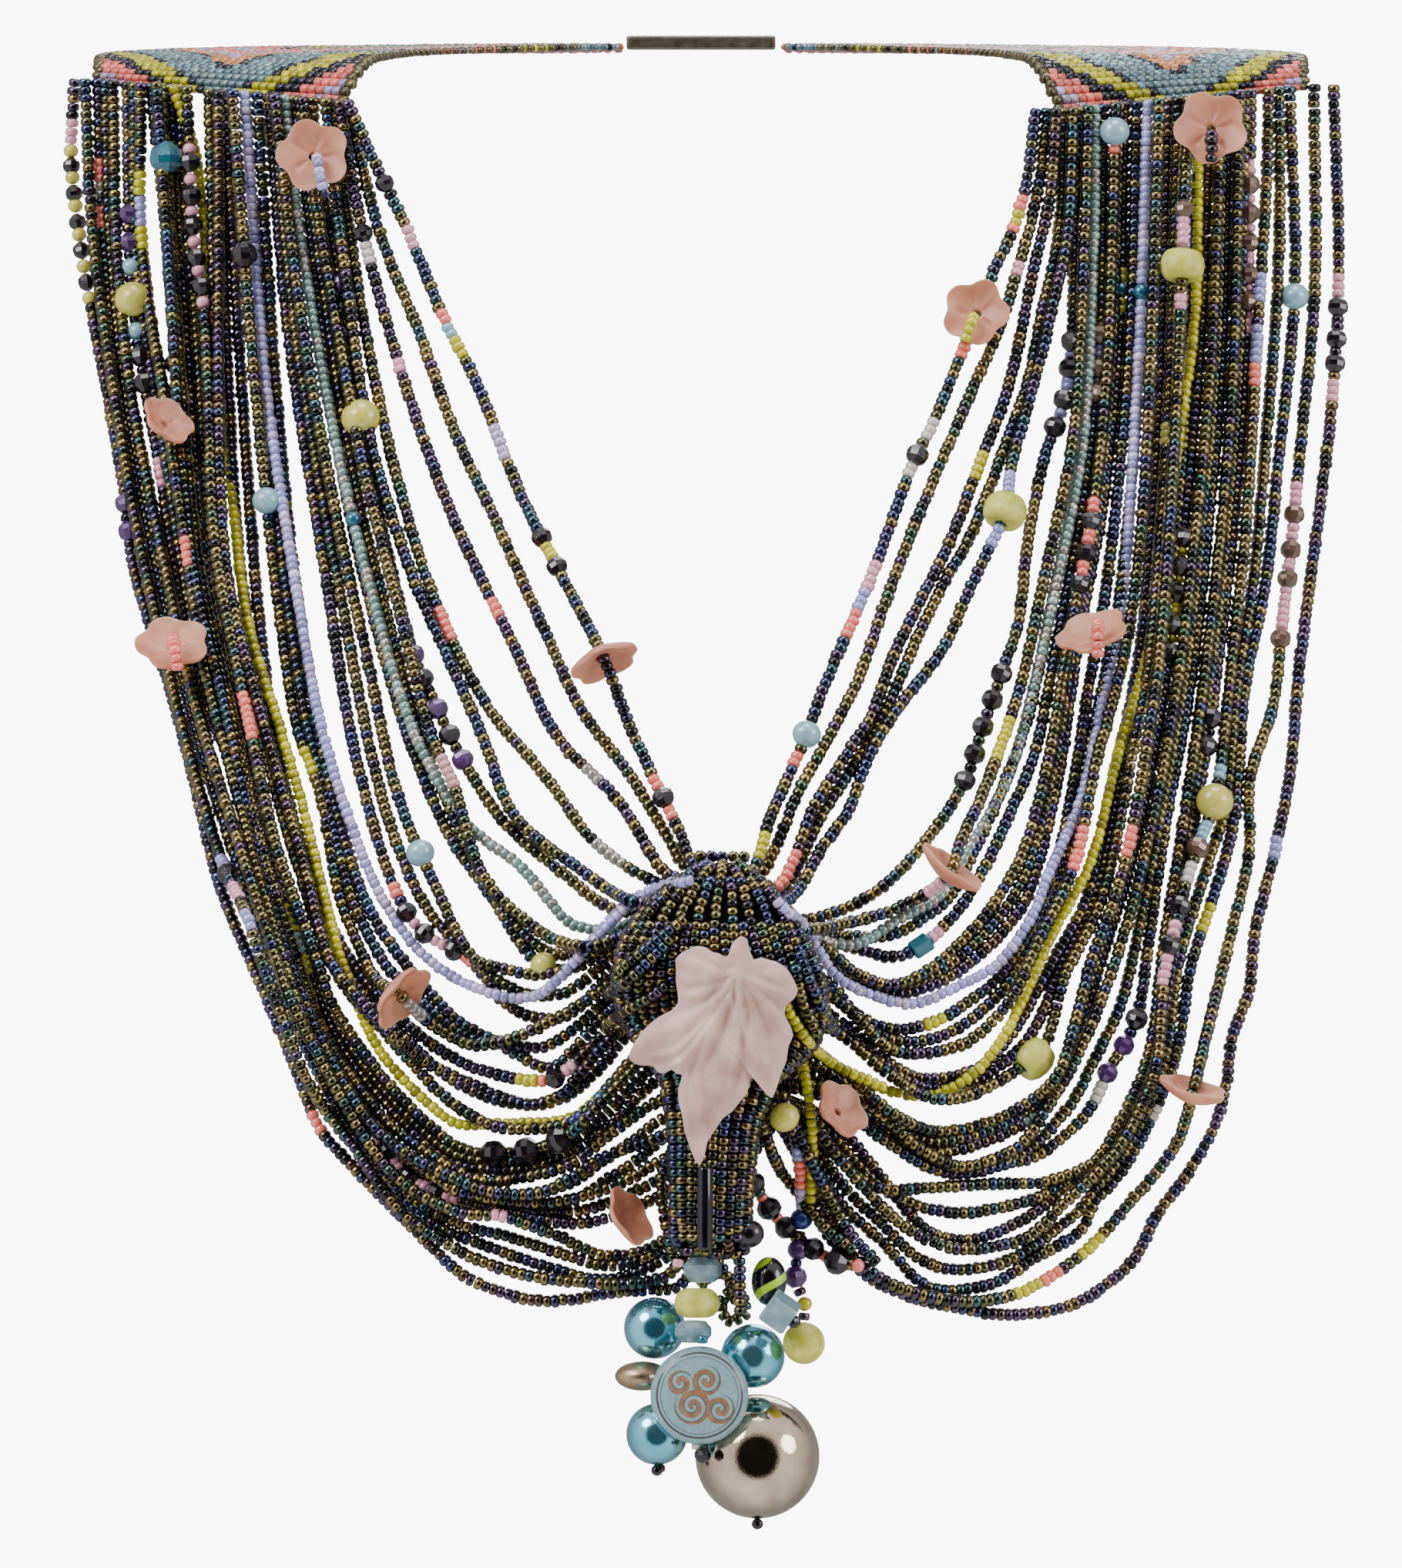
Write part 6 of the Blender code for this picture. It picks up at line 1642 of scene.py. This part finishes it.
class HARNESS_OT_leaf(bpy.types.Operator):
    """Makes the frosted leaf with its veins and the long bead under it"""

    bl_idname = "harness.leaf"
    bl_label = "Leaf and long bead"

    def execute(self, context):
        _, colours = settings()
        low, high = box_mm("leaf_pendant")
        back = high[1]
        centre = np.array(drawn(935, 1345))
        outline = np.array([drawn(*p) for p in pairs(LEAF_EDGE)])
        dense = np.repeat(outline, 2, axis=0)
        dense[1::2] = (outline + np.roll(outline, -1, axis=0)) / 2
        dense = (np.roll(dense, 1, axis=0) + 4 * dense + np.roll(dense, -1, axis=0)) / 6
        lines = [routed(vein, 0.6) for vein in LEAF_VEINS]
        heart = drawn(955, 1262)

        def relief(x, z):
            ridge = 0.0
            for line in lines:
                d2 = ((line[:, 0] - x) ** 2 + (line[:, 1] - z) ** 2).min()
                ridge = max(ridge, math.exp(-d2 / 0.5))
            dx, dz = x - heart[0], z - heart[1]
            far = math.hypot(dx, dz)
            pleat = math.sin(17 * math.atan2(dz, dx) + 0.35 * far) * min(1.0, far / 8.0)
            waves = 0.12 * math.sin(1.1 * x + 0.7 * z) + 0.10 * math.sin(0.9 * z - 1.3 * x)
            return 0.75 * ridge + 0.42 * pleat + waves

        rings = 30
        count = len(dense)
        vertices, faces = [], []
        for under in (0, 1):
            for k in range(rings):
                share = 1.0 - k / rings
                for x0, z0 in dense:
                    x = centre[0] + (x0 - centre[0]) * share
                    z = centre[1] + (z0 - centre[1]) * share
                    crown = 1.0 - share ** 6
                    if under:
                        y = back - 0.9 * share ** 8
                    else:
                        raised = relief(x, z) * min(1.0, 3.0 * (1.0 - share) + 0.25)
                        y = back - 1.05 - (LEAF_THICK - 1.75) * crown - raised
                    vertices.append((x, y, z))
            y = back if under else back - LEAF_THICK + 0.7 - relief(*centre)
            vertices.append((centre[0], y, centre[1]))
        size = rings * count + 1
        for under in (0, 1):
            base = under * size
            faces += ring_faces(rings, count, base)
            a, tip = base + (rings - 1) * count, base + rings * count
            faces += [(a + j, a + (j + 1) % count, tip) for j in range(count)]
        faces += [(j, (j + 1) % count, size + (j + 1) % count, size + j) for j in range(count)]
        leaf = body_mesh("leaf_glass_body", vertices, faces)
        pale, deep = tuple(colours.leaf), linear((172, 130, 122))
        glass = frosted_glass("frosted_leaf_glass", pale, deep, 0.42, 0.12, 0.3)
        settle(leaf, "leaf_glass", "leaf_pendant", material=glass)
        low, high = box_mm("tube_bead")
        middle = (low + high) / 2
        radius, half = (high[0] - low[0]) / 2, (high[2] - low[2]) / 2
        profile = mirrored([(radius * 0.6, half), (radius * 0.9, half - 0.15), (radius, half - 0.5)])
        long_bead = turned_body("long_bead", middle, Matrix.Identity(3), profile, 36)
        glass = pearl_coat("dark_tube_glass", linear((40, 34, 50)), linear((18, 15, 22)), 0.35, 0.08)
        settle(long_bead, "tube_glass", "tube_bead", material=glass)
        return {"FINISHED"}


def scroll_glaze(centre):
    """Pale glaze with darker scrolls and a line round the rim."""
    f = Finish("pale_scroll_glaze")
    place = f.place()
    x, z = (f.axis(place, k) - float(centre[k]) for k in (0, 2))
    far = (x * x + z * z) ** 0.5
    brown, edge = None, None
    for ux, uz, reach, hand in SCROLLS:
        dx, dz = x - ux, z - uz
        near = (dx * dx + dz * dz) ** 0.5
        angle = f.maths("ARCTAN2", dz, dx) / (2 * math.pi)
        turnings = f.maths("FRACT", near * 0.62 + angle * hand + 4.0)
        stripe = (turnings > 0.48) * (near < reach)
        line = (turnings > 0.36) * (turnings < 0.48) * (near < reach)
        brown = stripe if brown is None else brown + stripe
        edge = line if edge is None else edge + line
    brown = f.maths("MINIMUM", brown, 1.0)
    rim = (far > 7.25) * (far < 7.6)
    inner_rim = (far > 6.7) * (far < 6.85)
    grain = f.grain(place, 1.2, 3.0)
    ground = f.blend(grain, linear((92, 126, 136)), linear((142, 172, 178)))
    tone = f.blend(grain, linear((84, 48, 30)), linear((168, 118, 76)))
    base = f.blend(brown * 0.9, ground, tone)
    lines = f.maths("MINIMUM", rim + inner_rim * 0.7 + edge * 0.8, 1.0)
    base = f.blend(lines, base, linear((50, 54, 52)))
    height = 1.0 - brown * 0.8 - rim
    normal = f.bumped(height, 0.5, 0.0005)
    return f.done(Base_Color=base, Roughness=0.3 + grain * 0.2, Normal=normal, Coat_Weight=0.5)


def striped_glaze(centre):
    """Near-black glass with yellow-green stripes that wind round it."""
    f = Finish("striped_bead_glass")
    place = f.place()
    x, y, z = (f.axis(place, k) - float(centre[k]) for k in range(3))
    angle = f.maths("ARCTAN2", y, x) / (2 * math.pi)
    wind = f.maths("FRACT", z * 0.2 - angle * 2.0 + 3.0)
    stripe = (wind > 0.16) * (wind < 0.46)
    base = f.blend(stripe, linear((24, 20, 26)), linear((176, 220, 30)))
    fine = f.grain(place, 2.0, 2.0)
    return f.done(Base_Color=base, Roughness=0.1 + fine * 0.08, Coat_Weight=0.8, Coat_Roughness=0.03)


def clear_blue_glass():
    """Pale blue cut glass, a little milky."""
    f = Finish("pale_blue_cut_glass")
    place = f.place()
    milk = f.grain(place, 0.5, 3.0)
    base = f.blend(milk, linear((84, 120, 136)), linear((176, 208, 216)))
    return f.done(
        Base_Color=base, Roughness=0.08 + milk * 0.1, Transmission_Weight=0.35, IOR=1.5,
        Coat_Weight=0.5, Coat_Roughness=0.03,
    )


class HARNESS_OT_drops(bpy.types.Operator):
    """Makes the hanging drops: pearls, cut glass, the scroll disc and the striped bead"""

    bl_idname = "harness.drops"
    bl_label = "Drops"

    def execute(self, context):
        _, colours = settings()
        blue, white = tuple(colours.turquoise), tuple(colours.silver)
        turquoise = pearl_coat("turquoise_pearl_lacquer", blue, linear((92, 184, 214)), 0.9, 0.11)
        silver = pearl_coat("silver_pearl_lacquer", white, linear((190, 168, 144)), 1.0, 0.05)
        bronze = worn_metal("satin_bronze", linear((214, 188, 152)), linear((140, 112, 84)), 0.2)
        cut = clear_blue_glass()
        knob = bead_material()
        upright = Matrix.Identity(3)
        forward = Matrix.Rotation(math.pi / 2, 3, "X")
        for name, slot, shape, radius, half in CLUSTER:
            low, high = box_mm(name)
            centre = (low + high) / 2
            label = name.replace("drop_", "hung_")
            if shape in ("ball", "ball_knob"):
                centre[2] = high[2] - radius
                piece = turned_body(label, centre, upright, ball(radius, 30), 48)
                lacquers = {"turquoise_pearl": turquoise, "silver_pearl": silver}
                stuff = lacquers.get(slot) or yellow_glass()
            elif shape == "ball_tall":
                profile = [(r, z * half / radius) for r, z in ball(radius, 24)]
                piece = turned_body(label, centre, upright, profile, 40)
                stuff = striped_glaze(centre)
            elif shape == "rondelle" and slot == "pale_blue_glass":
                upper = [(radius * 0.3, half), (radius * 0.66, half * 0.94), (radius, half * 0.34)]
                profile = mirrored(upper)
                piece = turned_body(label, centre, upright, profile, 14, False)
                stuff = cut
            elif shape == "rondelle":
                profile = [(radius * (0.4 + 0.6 * r), z * half) for r, z in ball(1.0, 16)]
                piece = turned_body(label, centre, upright, profile, 40)
                stuff = yellow_glass()
            elif shape == "lentil":
                piece = turned_body(label, centre, upright, ball(radius, 20, half / radius), 44)
                stuff = bronze
            elif shape == "coin":
                shares = [
                    (0.1, 1.0), (0.5, 0.98), (0.8, 0.86), (0.86, 0.78), (0.95, 0.52),
                    (1.0, 0.0), (0.95, -0.52), (0.8, -0.86), (0.1, -1.0),
                ]
                profile = [(radius * r, half * z) for r, z in shares]
                piece = turned_body(label, centre, forward, profile, 64)
                stuff = scroll_glaze(centre)
            else:
                turn = turned("Y", 35) @ turned("X", 20)
                piece = bevelled_box(label, centre, turn, (radius * 2, radius * 2, half * 2), 0.55)
                stuff = cut
            settle(piece, slot, name, material=stuff)
            if shape == "ball_knob":
                tray = BeadTray(500)
                foot = (centre[0], centre[1], centre[2] - radius - 0.9)
                tint, _ = bead_tone("dark")
                tray.add(ROUND_FORM, [foot], [(0, 0, 1)], 2.1, 2.0, tint, FOOT_SHEEN, True, 0.0)
                settle(tray.made(f"{label}_foot", knob), slot)
        return {"FINISHED"}


def bevelled_box(name, centre, turn, size, edge):
    """A block with rounded edges."""
    mesh = bpy.data.meshes.new(name)
    bm = bmesh.new()
    bmesh.ops.create_cube(bm, size=1.0)
    for vertex in bm.verts:
        vertex.co = Vector([c * s for c, s in zip(vertex.co, size)])
    bmesh.ops.bevel(bm, geom=bm.edges[:], offset=edge, segments=3, affect="EDGES", profile=0.5)
    for vertex in bm.verts:
        vertex.co = (Vector(centre) + turn @ vertex.co) * MM
    bm.to_mesh(mesh)
    bm.free()
    made = bpy.data.objects.new(name, mesh)
    bpy.context.scene.collection.objects.link(made)
    return made


class HARNESS_OT_clasp(bpy.types.Operator):
    """Makes the plated clasp at the nape"""

    bl_idname = "harness.clasp"
    bl_label = "Clasp"

    def execute(self, context):
        low, high = box_mm("clasp")
        centre, size = (low + high) / 2, tuple(high - low)
        piece = bevelled_box("clasp_plate", centre, Matrix.Identity(3), size, 0.5)
        plate = worn_metal("dark_plated_clasp", linear((150, 142, 128)), linear((92, 84, 74)), 0.28)
        settle(piece, "clasp_metal", "clasp", material=plate)
        return {"FINISHED"}


class HARNESS_OT_stage(bpy.types.Operator):
    """Sets the pale floor, the soft lights, the backdrop and the camera"""

    bl_idname = "harness.stage"
    bl_label = "Stage"

    def execute(self, context):
        scene = context.scene
        ground = (0, 0, CAD_BOX[0][2] - 0.03)
        bpy.ops.mesh.primitive_circle_add(vertices=96, radius=0.9, fill_type="NGON", location=ground)
        floor = context.active_object
        floor.name = "pale_floor"
        f = Finish("pale_floor_paper")
        fine = f.grain(f.place(), 0.05, 3.0)
        base = f.blend(fine, linear((236, 235, 233)), linear((243, 242, 240)))
        floor.data.materials.append(f.done(Base_Color=base, Roughness=0.85))
        floor.visible_glossy = False
        for name, where, size, power in LIGHTS:
            data = bpy.data.lights.new(name, "AREA")
            data.shape = "DISK"
            data.size = size
            data.energy = power
            lamp = bpy.data.objects.new(name, data)
            lamp.location = where
            aim = Vector(LIGHT_AIM) - Vector(where)
            lamp.rotation_euler = aim.to_track_quat("-Z", "Y").to_euler()
            lamp.visible_camera = False
            scene.collection.objects.link(lamp)
        sky = Finish("studio_surround", bpy.data.worlds.new("studio_surround"), "Background")
        scene.world = sky.material
        front = sky.axis(sky.node("ShaderNodeTexCoord", output=0), 1)
        gloom = sky.ranged(0.0 - front, 0.66, 0.82, "SMOOTHSTEP")
        ring = sky.ranged(0.0 - front, -0.75, 0.35, "SMOOTHSTEP")
        level = (0.34 + ring * 0.72) * (1.0 - gloom * 0.985)
        seen = sky.node("ShaderNodeLightPath", output=0)
        sky.done(Strength=level * (1.0 - seen) + seen * BACKDROP_STRENGTH, Color=(1.0, 1.0, 1.0))
        wide = SHEET[0] / UNITS_PER_MM * MM
        data = bpy.data.cameras.new("front_camera")
        data.sensor_fit = "HORIZONTAL"
        data.sensor_width = 36.0
        data.lens = data.sensor_width * CAMERA_AWAY / wide
        data.clip_end = 100.0
        camera = bpy.data.objects.new("front_camera", data)
        camera.location = (0.0, CAMERA_PLANE - CAMERA_AWAY, drawn(0, SHEET[1] / 2)[1] * MM)
        camera.rotation_euler = (math.pi / 2, 0.0, 0.0)
        scene.collection.objects.link(camera)
        scene.camera = camera
        return {"FINISHED"}


class HARNESS_PT_panel(bpy.types.Panel):
    """Lists the steps that make the harness"""

    bl_label = "Beaded harness"
    bl_idname = "HARNESS_PT_panel"
    bl_space_type = "VIEW_3D"
    bl_region_type = "UI"
    bl_category = "Harness"

    def draw(self, context):
        layout = self.layout
        for group in (context.scene.harness_sizes, context.scene.harness_colours):
            for name in group.__annotations__:
                layout.prop(group, name)
        for step in STEPS:
            layout.operator(step.bl_idname)


STEPS = (
    HARNESS_OT_stage, HARNESS_OT_strings, HARNESS_OT_gather, HARNESS_OT_dangles, HARNESS_OT_bands,
    HARNESS_OT_flowers, HARNESS_OT_rondelles, HARNESS_OT_leaf, HARNESS_OT_drops, HARNESS_OT_clasp,
)
CLASSES = (HarnessSizes, HarnessColours, *STEPS, HARNESS_PT_panel)


def register():
    for item in CLASSES:
        bpy.utils.register_class(item)
    bpy.types.Scene.harness_sizes = PointerProperty(type=HarnessSizes)
    bpy.types.Scene.harness_colours = PointerProperty(type=HarnessColours)


def unregister():
    del bpy.types.Scene.harness_colours
    del bpy.types.Scene.harness_sizes
    for item in reversed(CLASSES):
        bpy.utils.unregister_class(item)


def main():
    register()
    bpy.ops.harness.stage()
    bpy.ops.harness.strings()
    bpy.ops.harness.gather()
    bpy.ops.harness.dangles()
    bpy.ops.harness.bands()
    bpy.ops.harness.flowers()
    bpy.ops.harness.rondelles()
    bpy.ops.harness.leaf()
    bpy.ops.harness.drops()
    bpy.ops.harness.clasp()


if __name__ == "__main__":
    main()
